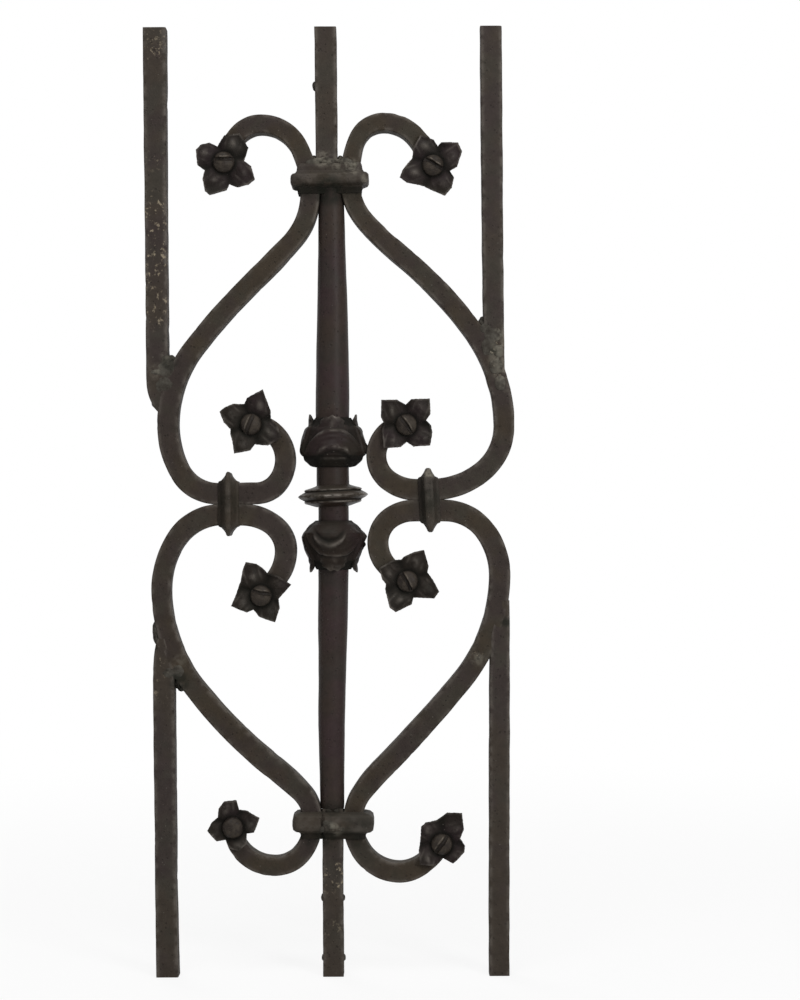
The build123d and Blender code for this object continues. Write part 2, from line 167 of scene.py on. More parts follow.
def rounded_square(half_width, half_depth, radius, flat_steps):
    """Each row's section points, their outward directions, and how near each is to an edge."""
    rows = len(half_width)
    corners, directions = [], []
    for corner in range(4):
        turns = (corner + np.linspace(0, 1, corner_steps + 1)) * pi / 2
        direction = np.stack([np.cos(turns), np.sin(turns)], 1)
        middle = np.sign(direction[corner_steps // 2])
        centre = middle * np.stack([half_width - radius, half_depth - radius], 1)
        corners.append(centre[:, None] + radius[:, None, None] * direction[None])
        directions.append(np.repeat(direction[None], rows, 0))
    points, outward, edges = [], [], []
    for corner in range(4):
        points.append(corners[corner])
        outward.append(directions[corner])
        edges.append(np.ones((rows, corner_steps + 1)))
        start = corners[corner][:, -1:]
        end = corners[(corner + 1) % 4][:, :1]
        share = (np.arange(1, flat_steps + 1) / (flat_steps + 1))
        points.append(start + (end - start) * share[None, :, None])
        outward.append(np.repeat(directions[corner][:, -1:], flat_steps, 1))
        near = np.exp(-np.minimum(share, 1 - share) * 14)
        edges.append(np.repeat(near[None], rows, 0))
    return np.concatenate(points, 1), np.concatenate(outward, 1), np.concatenate(edges, 1)


def ring_faces(rows, around):
    """Quads between rings of points, and a cap on each end."""
    faces = []
    for low in range(0, (rows - 1) * around, around):
        high = low + around
        for spot in range(around):
            following = (spot + 1) % around
            faces.append((low + spot, low + following, high + following, high + spot))
    faces.append(tuple(reversed(range(around))))
    faces.append(tuple(range((rows - 1) * around, rows * around)))
    return faces


def counted_on(faces, first):
    """The same faces for points that are joined on behind the first so many."""
    return [tuple(first + corner for corner in face) for face in faces]


def squared(centres, across, deep, half_width, half_depth, radius, flat_steps=6):
    """A bar of rounded square section along its rows: its points, outward directions and edges."""
    section, outward, edges = rounded_square(half_width, half_depth, radius, flat_steps)
    points = (centres[:, None] + section[..., :1] * across[:, None]
              + section[..., 1:] * deep[:, None])
    normals = outward[..., :1] * across[:, None] + outward[..., 1:] * deep[:, None]
    faces = ring_faces(*section.shape[:2])
    return points.reshape(-1, 3), normals.reshape(-1, 3), edges.ravel(), faces


def hammered(points, normals, edges, seed, depth=0.22):
    """Hammer marks on the flats, and a few small dents in the edges."""
    marks = depth * bumps(points, 14, seed) + 0.3 * depth * bumps(points, 5, seed + 1)
    dents = edges * np.maximum(0, bumps(points, 6.5, seed + 2) - 0.38) * 1.1
    return points + normals * (marks - dents)[:, None]


@dataclass
class Turn:
    """A place on a scroll's centreline: out from the axis, away from the joint, bar width."""
    reach: float
    rise: float
    width: float


@dataclass
class Forging:
    """One hand-forged C-scroll, from its curled end through the joint to its hooked end."""
    side: int
    way: int
    curl_eye: Turn
    curl_heading: float
    curl: Turn
    joint_start: float
    joint_end: float
    lobe_wander: float
    lobe_rise: float
    lobe_width: float
    flank: Turn
    flank_slope: float
    neck_rise: float
    crown: Turn
    hook_eye: Turn
    hook_heading: float
    curl_turns: tuple
    hook_turns: tuple


forgings = {
    "upper_left": Forging(
        side=-1, way=1,
        curl_eye=Turn(48.0, 47.9, 12.2), curl_heading=-1.0, curl=Turn(27.7, 26.5, 11.9),
        joint_start=45.5, joint_end=69.1,
        lobe_wander=-3.2, lobe_rise=47.7, lobe_width=12.3,
        flank=Turn(46.0, 135.0, 11.6), flank_slope=44.2, neck_rise=187.0,
        crown=Turn(41.4, 229.2, 10.8), hook_eye=Turn(63.7, 205.5, 10.8), hook_heading=79.0,
        curl_turns=(65.0, 70.0), hook_turns=(63.0, 0.0),
    ),
    "upper_right": Forging(
        side=1, way=1,
        curl_eye=Turn(45.4, 45.3, 12.2), curl_heading=1.0, curl=Turn(27.2, 27.0, 11.7),
        joint_start=51.1, joint_end=60.6,
        lobe_wander=2.9, lobe_rise=44.7, lobe_width=11.9,
        flank=Turn(42.0, 148.5, 11.5), flank_slope=39.5, neck_rise=193.0,
        crown=Turn(32.3, 228.1, 10.4), hook_eye=Turn(62.1, 201.2, 12.0), hook_heading=73.0,
        curl_turns=(46.5, -55.0), hook_turns=(23.5, -30.0),
    ),
    "lower_left": Forging(
        side=-1, way=-1,
        curl_eye=Turn(42.5, 55.2, 12.2), curl_heading=42.0, curl=Turn(27.7, 28.7, 12.8),
        joint_start=54.2, joint_end=66.6,
        lobe_wander=1.2, lobe_rise=51.3, lobe_width=11.2,
        flank=Turn(34.3, 160.2, 13.0), flank_slope=38.2, neck_rise=191.5,
        crown=Turn(34.8, 218.6, 10.7), hook_eye=Turn(60.1, 194.7, 10.2), hook_heading=92.0,
        curl_turns=(23.0, -12.0), hook_turns=(19.0, 35.0),
    ),
    "lower_right": Forging(
        side=1, way=-1,
        curl_eye=Turn(45.7, 48.8, 11.8), curl_heading=26.0, curl=Turn(27.9, 25.7, 12.2),
        joint_start=48.9, joint_end=68.0,
        lobe_wander=-0.2, lobe_rise=45.0, lobe_width=12.2,
        flank=Turn(29.5, 162.6, 12.6), flank_slope=45.0, neck_rise=194.0,
        crown=Turn(40.0, 224.5, 11.4), hook_eye=Turn(65.6, 207.0, 11.0), hook_heading=59.0,
        curl_turns=(67.5, -60.0), hook_turns=(45.5, 56.0),
    ),
}


def heading(degrees):
    """The direction that an angle points in."""
    return np.array([cos(radians(degrees)), sin(radians(degrees))])


def arc(start, leaving, end, steps):
    """Points of the arc that leaves start along a direction, up to but not with its end."""
    chord = end - start
    turn = np.arctan2(leaving[0] * chord[1] - leaving[1] * chord[0], leaving @ chord)
    share = np.arange(steps) / steps
    if abs(turn) < 1e-5:
        return start + share[:, None] * chord
    reach = hypot(*chord) * np.sin(turn * share) / sin(turn)
    cosine, sine = np.cos(turn * share), np.sin(turn * share)
    way = np.stack([leaving[0] * cosine - leaving[1] * sine,
                    leaving[0] * sine + leaving[1] * cosine], 1)
    return start + reach[:, None] * way


def double_bend(start, leaving, end, arriving, steps):
    """Two arcs that join smoothly and keep the direction given at each end."""
    way = end - start
    spread = 2 * (1 - leaving @ arriving)
    reach = way @ (leaving + arriving)
    if spread < 1e-9:
        step = way @ way / (2 * reach)
    else:
        step = (sqrt(reach * reach + spread * (way @ way)) - reach) / spread
    middle = (start + end + (leaving - arriving) * step) / 2
    first = arc(start, leaving, middle, steps)
    across = (middle - start) / hypot(*(middle - start))
    turned = 2 * (leaving @ across) * across - leaving
    return np.concatenate([first, arc(middle, turned, end, steps)])


def scroll_stations(form):
    """Each place where the bar turns, as its point, its direction and its width."""
    neck_width = neck_reach - bar / 2
    lobe = bar_pitch + form.lobe_wander
    places = [
        (form.curl_eye.reach, form.curl_eye.rise, 180 + form.curl_heading, form.curl_eye.width),
        (form.curl.reach, form.curl.rise, -90, form.curl.width),
        (form.joint_start, bar / 2, 0, bar),
        (form.joint_end, bar / 2, 0, bar),
        (lobe, form.lobe_rise, 90, form.lobe_width),
        (form.flank.reach, form.flank.rise, 180 - form.flank_slope, form.flank.width),
        (neck_reach - neck_width / 2, form.neck_rise, 90, neck_width),
        (form.crown.reach, form.crown.rise, 0, form.crown.width),
        (form.hook_eye.reach, form.hook_eye.rise, -form.hook_heading, form.hook_eye.width),
    ]
    return [(np.array([reach, rise]), heading(turn), width) for reach, rise, turn, width in places]


# How far the hammered faces swell beyond the bar's drawn width, each side
swell = 0.2


def across_of(along):
    """A direction turned a quarter to its left."""
    return np.array([-along[1], along[0]])


def scroll_edges(form):
    """The bar's two edges as matching rows of points, with a half-round end past each screw."""
    stations = scroll_stations(form)
    edges = []
    for hand in (1, -1):
        line = []
        ends = [(place + across_of(along) * hand * (width / 2 + swell), along)
                for place, along, width in stations]
        for index, ((start, leaving), (end, arriving)) in enumerate(zip(ends, ends[1:])):
            steps = ceil(hypot(*(stations[index + 1][0] - stations[index][0])) / 2.2)
            line.append(double_bend(start, leaving, end, arriving, steps))
        line.append(ends[-1][0][None])
        edges.append(np.concatenate(line))
    tips = []
    for (place, along, width), sense in ((stations[0], -1), (stations[-1], 1)):
        swing = np.linspace(0, pi / 2, 10)[1:] * 0.97
        middle = place + np.sin(swing)[:, None] * along * sense * width / 2
        half = np.cos(swing)[:, None] * across_of(along) * width / 2
        tips.append((middle + half, middle - half))
    outer = np.concatenate([tips[0][0][::-1], edges[0], tips[1][0]])
    inner = np.concatenate([tips[0][1][::-1], edges[1], tips[1][1]])
    return outer, inner


def in_place(form, points):
    """Turn points from a forging's own plane to the panel's X and Z."""
    return np.stack([form.side * points[:, 0],
                     joint_height[form.side] + form.way * points[:, 1]], 1)


def front_view(points):
    """Points of the front view, as places in space on the panel's middle plane."""
    return np.stack([points[:, 0], np.zeros(len(points)), points[:, 1]], 1)


def flat_bar(outer, inner, seed):
    """A bar of square section between two lines of the front view."""
    centres = front_view((outer + inner) / 2)
    across = front_view(outer - inner)
    width = np.linalg.norm(across, axis=1)
    across /= width[:, None]
    deep = np.tile([0.0, -1.0, 0.0], (len(width), 1))
    centres[:, 1] += 0.25 * bumps(centres, 40, seed + 5)
    half_depth = bar / 2 + 0.2 * bumps(centres, 30, seed + 6)
    radius = np.minimum(0.95 + 0.3 * bumps(centres, 9, seed + 7), width * 0.45)
    points, normals, edges, faces = squared(centres, across, deep, width / 2, half_depth, radius)
    return hammered(points, normals, edges, seed), edges, faces


def forged_scroll(name, seed, finish):
    """One scroll, with hammered faces and worn edges."""
    form = forgings[name]
    outer, inner = scroll_edges(form)
    points, edges, faces = flat_bar(in_place(form, outer), in_place(form, inner), seed)
    draft("scroll_%s_forged" % name, "scroll_" + name, "scroll_iron", finish, points, faces, worn=edges)


# Each bar's height, left edge and right edge, from its foot to its head
bar_rows = {
    "bar_upper_left": [
        (341, -104.4, -99.5), (343.5, -106.6, -99.3), (347, -108.6, -98.8), (352, -110.3, -98.4),
        (358, -111.0, -98.3), (408, -111.2, -98.5), (468, -111.6, -98.8), (529, -112.0, -98.8),
        (panel_height, -112.5, -98.8),
    ],
    "bar_upper_right": [
        (350, 97.0, 104.9), (360, 93.6, 104.7), (380, 92.3, 104.5), (408, 92.2, 104.3),
        (438, 91.9, 104.1), (529, 91.3, 103.9), (panel_height, 91.2, 103.8),
    ],
    "bar_lower_left": [
        (0, -106.4, -93.6), (27, -106.7, -94.2), (57, -106.9, -94.7), (117, -107.3, -94.9),
        (180, -107.8, -95.2), (193, -107.4, -97.0), (200, -106.2, -99.0), (204, -105.0, -100.5),
    ],
    "bar_lower_right": [
        (0, 94.2, 106.0), (87, 94.5, 106.4), (148, 94.9, 106.8), (180, 95.1, 106.9),
        (204, 95.8, 107.0), (216, 98.0, 106.9), (226, 100.0, 106.8),
    ],
    "centre_bar_upper": [
        (478, -8.3, 4.4), (529, -8.5, 4.2), (panel_height, -8.8, 3.9),
    ],
    "centre_bar_lower": [
        (0, -5.9, 6.1), (27, -6.0, 6.1), (57, -6.0, 5.9), (101, -6.2, 6.2),
    ],
}


def square_bar(node, seed, finish):
    """A plain bar between the photographed edges, cut off square at its free end."""
    rows = np.array(bar_rows[node], float)
    heights = np.linspace(rows[0, 0], rows[-1, 0], ceil((rows[-1, 0] - rows[0, 0]) / 2.0))
    left = np.interp(heights, rows[:, 0], rows[:, 1]) - swell
    right = np.interp(heights, rows[:, 0], rows[:, 2]) + swell
    kernel = np.ones(5) / 5
    for line in (left, right):
        line[2:-2] = np.convolve(line, kernel, "valid")
    points, edges, faces = flat_bar(np.stack([left, heights], 1), np.stack([right, heights], 1), seed)
    draft(node + "_forged", node, "bar_iron", finish, points, faces, worn=edges)


def turned(rows, around=96):
    """A round piece from its heights and radii."""
    rows = np.asarray(rows, float)
    swing = np.arange(around) * 2 * pi / around
    ring = np.stack([np.cos(swing), np.sin(swing), np.zeros(around)], 1)
    points = rows[:, 1][:, None, None] * ring[None]
    points[..., 2] += rows[:, 0][:, None]
    normals = np.repeat(ring[None], len(rows), 0)
    return points.reshape(-1, 3), normals.reshape(-1, 3), ring_faces(len(rows), around)


def eased(rows, step):
    """Heights and radii filled in between the rows given, step apart."""
    rows = np.asarray(rows, float)
    run = np.concatenate([[0], np.cumsum(np.hypot(*np.diff(rows, axis=0).T))])
    even = np.linspace(0, run[-1], ceil(run[-1] / step))
    even = np.unique(np.concatenate([even, run]))
    return np.stack([np.interp(even, run, rows[:, 0]), np.interp(even, run, rows[:, 1])], 1)


def baluster(finish, disc_finish):
    """The tapered stem and the sharp, slightly tilted disc at its waist."""
    stem = [
        (101, 6.9), (103, 7.1), (122, 7.3), (137, 7.6), (151, 7.9), (180, 8.15), (195, 8.35), (209, 8.8),
        (238, 8.9), (262, 9.0), (285, 8.9), (294, 9.6), (308, 9.6), (342, 10.05), (354, 9.9), (368, 9.7),
        (381, 9.5), (394, 9.2), (408, 8.9), (421, 8.5), (434, 8.2), (466, 7.6), (478, 7.5),
    ]
    centre_line = [
        (101, -0.3), (122, -0.4), (151, -0.6), (180, 0.0), (209, 0.4), (238, 0.9), (280, 1.2),
        (302, 0.8), (342, 0.8), (368, 1.0), (394, 1.0), (434, 0.9), (478, 0.6),
    ]
    points, normals, faces = turned(eased(stem, 2.0))
    points += normals * swell
    points[:, 0] += np.interp(points[:, 2], *zip(*centre_line))
    relief = 0.16 * bumps(points, 16, 31) + 0.05 * bumps(points, 5, 32)
    points = points + normals * relief[:, None]
    # Painted shade near both ends of the stem, where it meets the collars.
    near_ends = 1 - smooth(0, 7, np.minimum(points[:, 2] - stem[0][0], stem_shown_top - points[:, 2]))
    draft("baluster_stem_turned", "baluster_stem", "baluster_iron", finish,
          points, faces, worn=np.zeros(len(points)), hollow=0.4 * near_ends)
    disc = [
        (-6.5, 9.9), (-6.2, 11.0), (-5.2, 14.0), (-4.4, 16.6), (-3.9, 17.2), (-3.2, 17.3), (-2.8, 17.0),
        (-2.3, 17.9), (-1.3, 19.8), (-0.45, 20.9), (0, 21.15), (0.45, 20.9), (1.3, 19.8), (2.3, 17.9),
        (2.8, 16.9), (3.2, 17.4), (3.8, 17.4), (4.3, 16.6), (5.2, 13.2), (6.1, 10.6), (6.5, 9.9),
    ]
    points, normals, faces = turned(eased(disc, 0.5), 120)
    radius = np.hypot(points[:, 0], points[:, 1])
    level = points[:, 2].copy()
    ledge = smooth(16.6, 17.3, radius) * smooth(2.9, 3.2, np.abs(level))
    rim = np.maximum(smooth(19.3, 20.9, radius), ledge)
    # Painted shade in the grooves between the ledges and the rim.
    groove = bell(np.abs(level) - 2.7, 0.5)
    points = points + normals * (0.22 * bumps(points, 9, 33) * smooth(12, 20, radius))[:, None]
    points[:, 2] += 0.2 * bumps(points, 18, 34) + disc_tilt * points[:, 0]
    points += [baluster_offset, 0, waist_height]
    draft("baluster_disc_turned", "baluster_disc", "baluster_iron", disc_finish,
          points, faces, worn=rim, hollow=0.9 * groove)


# Each knop's own shape: its plain cup by rows of height and radius, then the heights of its lid,
# lip, ear, foot and bright line (a low ridge with a painted highlight), and how far its lip droops at the
# sides and sits off the middle
knops = {
    "knop_upper": {
        "cup": [
            (-0.5, 10.4), (0, 12.0), (1.3, 13.2), (3.7, 16.0), (6.1, 17.8), (8.5, 18.7), (10.7, 18.7),
            (13.3, 18.5), (16, 17.8), (18.5, 17.0), (22, 16.0), (24.5, 14.6), (26.5, 12.6), (29.5, 10.6),
        ],
        "lid": 22.6, "lip": 12.9, "droop": 3.2, "shift": 0.6, "ear": 10.5, "foot": 6.0, "line": 4.6,
    },
    "knop_lower": {
        "cup": [
            (-2.6, 9.2), (-1.2, 10.9), (0, 12.8), (2.3, 14.9), (4.7, 17.0), (7.1, 17.9), (9.5, 17.6),
            (12, 16.8), (14.4, 16.2), (17, 15.4), (19.2, 14.4), (21.6, 13.2), (24, 12.0), (27, 10.2),
        ],
        "lid": 19.8, "lip": 13.6, "droop": 5.6, "shift": -2.0, "ear": 7.0, "foot": -3.0, "line": -9.0,
    },
}


def knop_radius(rise, shape):
    """The cup's plain radius at a height above its base."""
    return np.interp(rise, *zip(*shape["cup"]))


def folded_leaf(across, rise, shape):
    """A broad leaf over the cup: its relief, then its wear with painted highlights, and its painted shade.
    """
    below_lid = shape["lid"] - 11.0 * np.abs((across - 1.0) / 18.0) ** 2.2 - rise
    lid = 1.2 * smooth(-0.6, 1.2, below_lid) + 0.5 * bell(below_lid - 1.4, 1.2)
    off_middle = across - shape["shift"]
    below_lip = shape["lip"] - shape["droop"] * (off_middle / 9.0) ** 2 - rise
    inside = smooth(10.5, 7.5, np.abs(off_middle))
    ridge = bell(below_lip - 1.2, 1.25) * inside
    bulge = smooth(-3.5, 0.5, below_lip) * smooth(4.5, 2.0, below_lip) * inside
    under = bell(below_lip - 4.4, 1.5) * inside
    fold = bell(below_lid - 5.0, 0.9) * smooth(12, 8, np.abs(across - 2))
    line = bell(rise - shape["line"], 0.7) * smooth(9, 6, np.abs(across - 1))
    foot = smooth(shape["foot"] - 0.4, shape["foot"] + 1.2, rise + 0.012 * across ** 2)
    relief = (lid + 0.9 * ridge + 0.7 * bulge - 0.7 * under + 0.25 * fold) * foot + 0.5 * line
    # Wear and painted highlights: the lip's ridge, stronger towards its right end, the lid's edge and the
    # bright line.
    edge = 0.55 * bell(below_lid - 1.2, 0.8) * smooth(13, 5, np.abs(across + 1))
    worn = (ridge * (0.55 + 0.45 * smooth(-4, 6, off_middle)) + edge) * foot + 0.6 * line
    # Painted shade below the foot, more at the sides, then under the lip and just under the lid's edge.
    below = smooth(shape["foot"] + 1.4, shape["foot"] - 0.2, rise)
    below = below * (0.5 + 0.5 * smooth(6, 10, np.abs(across)))
    return relief, worn, 0.8 * under * foot + below + 0.35 * bell(below_lid + 0.8, 0.8)


def side_leaf(across, rise, shape, right):
    """The leaf on a knop's flank; on the right its tip rolls out in an ear."""
    ear = np.exp(-((rise - shape["ear"]) / 2.4) ** 2 - (across / 5.0) ** 2) * (0.25 + 0.75 * right)
    blade = smooth(9.0, 7.0, np.abs(across)) * smooth(shape["lid"] + 2.5, shape["lid"] + 0.5, rise)
    vein = bell(across, 0.9) * smooth(shape["ear"] + 2, shape["ear"] + 5, rise)
    foot = smooth(shape["foot"] - 1, shape["foot"] + 1.5, rise)
    below = smooth(shape["foot"] + 1.4, shape["foot"] - 0.2, rise)
    # Its wear is a painted highlight on the right ear; its shade is painted shade along the vein and below
    # the foot.
    return (1.25 * blade + 1.1 * ear + 0.3 * vein) * foot, 0.7 * ear * right, 0.6 * vein * blade + below


def knop(node, way, seed, finish):
    """The cup wrapped in two broad folded leaves and two on its flanks, with a leafy crown."""
    shape = knops[node]
    heights = np.linspace(shape["cup"][0][0], shape["cup"][-1][0], 60)
    cup = np.stack([heights, knop_radius(heights, shape)], 1)
    points, normals, faces = turned(eased(cup, 0.42), 216)
    swing = np.arctan2(points[:, 1], points[:, 0])
    plain = np.maximum(np.hypot(points[:, 0], points[:, 1]), 15)
    rise = points[:, 2].copy()
    front = (np.abs(swing) - pi / 2) * np.sign(swing) * plain
    flank = (swing - np.round(swing / pi) * pi) * plain
    relief, lips, painted_leaf_shade = folded_leaf(front, rise, shape)
    side_relief, painted_ear_highlight, painted_side_shade = side_leaf(flank, rise, shape, smooth(-2, 2, points[:, 0]))
    seam = bell(relief - side_relief, 0.35) * smooth(9, 11, np.abs(front))
    over = side_relief > relief
    relief = np.maximum(relief, side_relief) - 0.35 * seam
    relief = relief + 0.28 * bumps(points, 5.5, seed) + 0.1 * bumps(points, 2.2, seed + 1)
    points = points + normals * relief[:, None]
    # Wear and painted highlights from the leaves.
    worn = np.clip(np.where(over, painted_ear_highlight, lips), 0, 1)
    # Painted shade under the leaves, in the seams between them and over the crown.
    crown_shade = smooth(shape["lid"] + 1, shape["lid"] + 3, rise)
    shade = np.where(over, painted_side_shade, painted_leaf_shade) + 0.45 * seam + crown_shade
    parts = [(points, facing_out(points, faces), worn, np.clip(shade, 0, 1))]
    for place in range(4):
        turn = pi / 2 * place + 0.06 * sin(seed + place)
        half = 8.2 if place % 2 else 6.2
        top = shape["lid"] + (7.6 if place % 2 else 8.6)
        parts.append(mouth_leaf(turn, shape["lid"] - 3.5, top, shape, half, seed + place))
    starts = np.cumsum([0] + [len(part[0]) for part in parts]).tolist()
    faces = [face for start, part in zip(starts, parts) for face in counted_on(part[1], start)]
    points, worn, hollow = (np.concatenate([part[spot] for part in parts]) for spot in (0, 2, 3))
    points[:, 2] *= way
    points += [baluster_offset + 0.2, 0, waist_height + way * knop_rise]
    draft(node + "_chased", node, "knop_iron", finish, points, faces, worn=worn, hollow=hollow)


def mouth_leaf(turn, low, high, shape, half, seed):
    """A blunt leaf of the crown, with a raised midrib and a ragged top, standing off the cup."""
    across_steps, along_steps = 20, 22
    share = np.linspace(0, 1, along_steps)
    side = np.linspace(-1, 1, across_steps)
    along, sideways = np.meshgrid(share, side, indexing="ij")
    outline = np.interp(share, [0, 0.3, 0.55, 0.68, 0.8, 0.92, 1.0],
                        [0.9, 1.0, 1.0, 0.88, 0.92, 0.8, 0.62])
    width = half * outline * (1 + 0.05 * np.sin(share * 19 + seed) * smooth(0.3, 0.6, share))
    scallop = 0.5 * np.cos(sideways * 7 + seed) * smooth(0.6, 1, along)
    rise = low + (high - low) * along - 1.3 * sideways ** 2 * along + scallop
    stand = 1.4 + 1.1 * along + 0.5 * bell(sideways, 0.2) * (1 - along * 0.6)
    stand = stand - 0.9 * np.abs(sideways) ** 3
    cup = knop_radius(np.minimum(rise, shape["lid"] + 4), shape)
    radius = np.maximum(cup, 11.5 - 0.6 * along) + stand
    radius = np.minimum(radius, 15.9 - 1.6 * along + 0.3 * scallop)
    swing = turn + sideways * width[:, None] / np.maximum(radius, 8)
    back_radius = radius - (1.6 - 0.5 * along)
    front, back = (np.stack([reach * np.cos(swing), reach * np.sin(swing), height], -1).reshape(-1, 3)
                   for reach, height in ((radius, rise), (back_radius, rise - 0.15)))
    direction = np.stack([np.cos(swing), np.sin(swing), 0 * swing], -1).reshape(-1, 3)
    front = front + direction * (0.3 * bumps(front, 4.0, seed + 40))[:, None]
    points = np.concatenate([front, back])
    rim = np.maximum(0.6 * np.abs(sideways) ** 8, along ** 8).ravel()
    worn = np.concatenate([np.maximum(rim, 0.35 * bell(sideways.ravel(), 0.25)), rim])
    # Painted shade low on the leaf, along its sides and over all its back.
    low_part = (0.9 * smooth(0.45, 0.1, along) + 0.5 * np.abs(sideways) ** 4).ravel()
    hollow = np.concatenate([low_part, np.ones(len(low_part))])
    faces = facing_out(points, sheet_faces(along_steps, across_steps))
    return points, faces, worn, np.clip(hollow, 0, 1)


def sheet_faces(rows, columns):
    """The faces of a closed thin sheet: its front grid, its back grid and its rim."""
    count = rows * columns
    faces = []
    for row in range(rows - 1):
        for column in range(columns - 1):
            corner = row * columns + column
            quad = (corner, corner + 1, corner + columns + 1, corner + columns)
            faces.append(quad)
            faces.append(tuple(count + spot for spot in reversed(quad)))
    rim = (list(range(columns))
           + [row * columns + columns - 1 for row in range(1, rows)]
           + [(rows - 1) * columns + column for column in reversed(range(columns - 1))]
           + [row * columns for row in reversed(range(1, rows - 1))])
    for spot, following in zip(rim, rim[1:] + rim[:1]):
        faces.append((spot, count + spot, count + following, following))
    return faces


def moulded(node, centre, up, rows, half_width, seed, finish, shaped):
    """A collar from its long section: how far along, how proud, and its corner radius."""
    fine = eased(rows, 0.6)
    proud = fine[:, 1]
    radius = 0.8 + np.maximum(proud, 0) * 0.55
    along = np.asarray(up, float)
    across = np.array([1.0, 0, 0]) if along[2] else np.array([0, 0, 1.0])
    centres = np.asarray(centre, float) + fine[:, :1] * along
    points, normals, edges, faces = squared(
        centres, np.tile(across, (len(fine), 1)), np.tile([0.0, -1.0, 0.0], (len(fine), 1)),
        half_width + proud, bar / 2 + proud, radius, 44)
    # Each collar's shaping also gives its painted shade.
    points, hollow = shaped(points - centre)
    points = hammered(points + centre, normals, edges * 0.3, seed, 0.3)
    around = len(points) // len(fine)
    peak = max(height for _, height in rows)
    proudness = np.repeat(smooth(peak * 0.75, peak, proud), around)
    steps = np.repeat(bell(np.gradient(proud) / np.gradient(fine[:, 0]), 9), around)
    # Painted shade on the low lands, away from the ridge and its slopes.
    low_land_shade = (1 - proudness) * (1 - steps) * 0.35
    draft(node + "_swaged", node, "collar_iron", finish, points, faces,
          worn=np.maximum(proudness * 0.45, edges * 0.4), hollow=np.clip(hollow + low_land_shade, 0, 1))


def collars(finish):
    """The two bindings round the neck and the two clips at the joints, each bent its own way."""
    top = [
        (-8.7, 0.2), (-8.4, 1.4), (-5.4, 1.8), (-4.4, 2.3), (-3.9, 3.8), (-3.2, 5.3), (-2.0, 5.9),
        (0.4, 6.0), (2.2, 5.8), (3.2, 4.9), (3.8, 3.2), (5.2, 2.3), (7.8, 1.9), (9.4, 1.1), (9.9, 0.2),
    ]

    def sagging(points):
        lean = points[:, 0] / 24
        points[:, 2] += 0.5 * lean * smooth(-9, -2, points[:, 2]) - 0.3 * (1 - lean ** 2)
        points[:, 2] -= 1.0 * smooth(0.6, 1, -lean) * smooth(-1, -5, points[:, 2])
        front = smooth(-6, -8, points[:, 1])
        lower_land = smooth(-5, -6, points[:, 2]) * smooth(13, 9, np.abs(points[:, 0] + 2))
        points[:, 1] += 0.9 * front * lower_land
        # Painted shade on the collar's lower shoulder, under its ridge.
        return points, 0.75 * smooth(-4.2, -5.4, points[:, 2])

    moulded("collar_top", (-0.1, 0, top_collar_height), (0, 0, 1), top, neck_reach, 51, finish, sagging)
    bottom = [
        (-8.2, 0.2), (-7.9, 1.7), (-4.9, 2.2), (-4.0, 3.2), (-3.5, 5.2), (-2.4, 6.5), (0, 6.9), (3.2, 6.9),
        (5.8, 6.4), (7.3, 4.6), (7.9, 2.4), (8.2, 0.3),
    ]

    def split_front(points):
        front = smooth(-6, -8, points[:, 1])
        gap = bell(points[:, 0] + 6.4 + 0.25 * np.sin(points[:, 2]), 0.7)
        lump = np.exp(-((points[:, 0] - 1.6) / 4.6) ** 2 - ((points[:, 2] - 1) / 4.0) ** 2)
        points[:, 1] += front * (1.7 * gap - 1.0 * lump + 0.5 * smooth(-5, -8, points[:, 0]))
        points[:, 2] -= 0.4 * smooth(0, 20, points[:, 0]) - 0.2
        # Painted shade in the split on the front and on the collar's lower part.
        return points, 0.55 * front * gap + 0.7 * smooth(-3.6, -4.8, points[:, 2])

    moulded("collar_bottom", (0.4, 0, bottom_collar_height), (0, 0, 1), bottom, neck_reach, 53,
            finish, split_front)
    for side, node, reach, ridge in ((-1, "collar_left", -61.9, 1.7), (1, "collar_right", 59.0, 2.5)):
        clip = [
            (-6.3, 0.2), (-6.1, 0.9), (-4.6, 1.6), (-ridge - 0.6, 4.7), (-ridge, 6.0), (-ridge * 0.5, 6.6),
            (ridge * 0.5, 6.6), (ridge, 6.0), (ridge + 0.6, 4.7), (4.6, 1.6), (6.1, 0.9), (6.3, 0.2),
        ]

        def leaning(points, side=side):
            height = points[:, 2] / 19
            # Painted shade on the left flank of the clip's ridge.
            flank = 0.5 * smooth(-1.5, -4.5, points[:, 0])
            points[:, 0] -= 1.0 * height * (side > 0)
            points[:, 0] *= 1 - 0.35 * smooth(0.62, 1.02, np.abs(height))
            return points, flank

        moulded(node, (reach, 0, joint_height[side]), (1, 0, 0), clip, bar, 55 + side, finish, leaning)


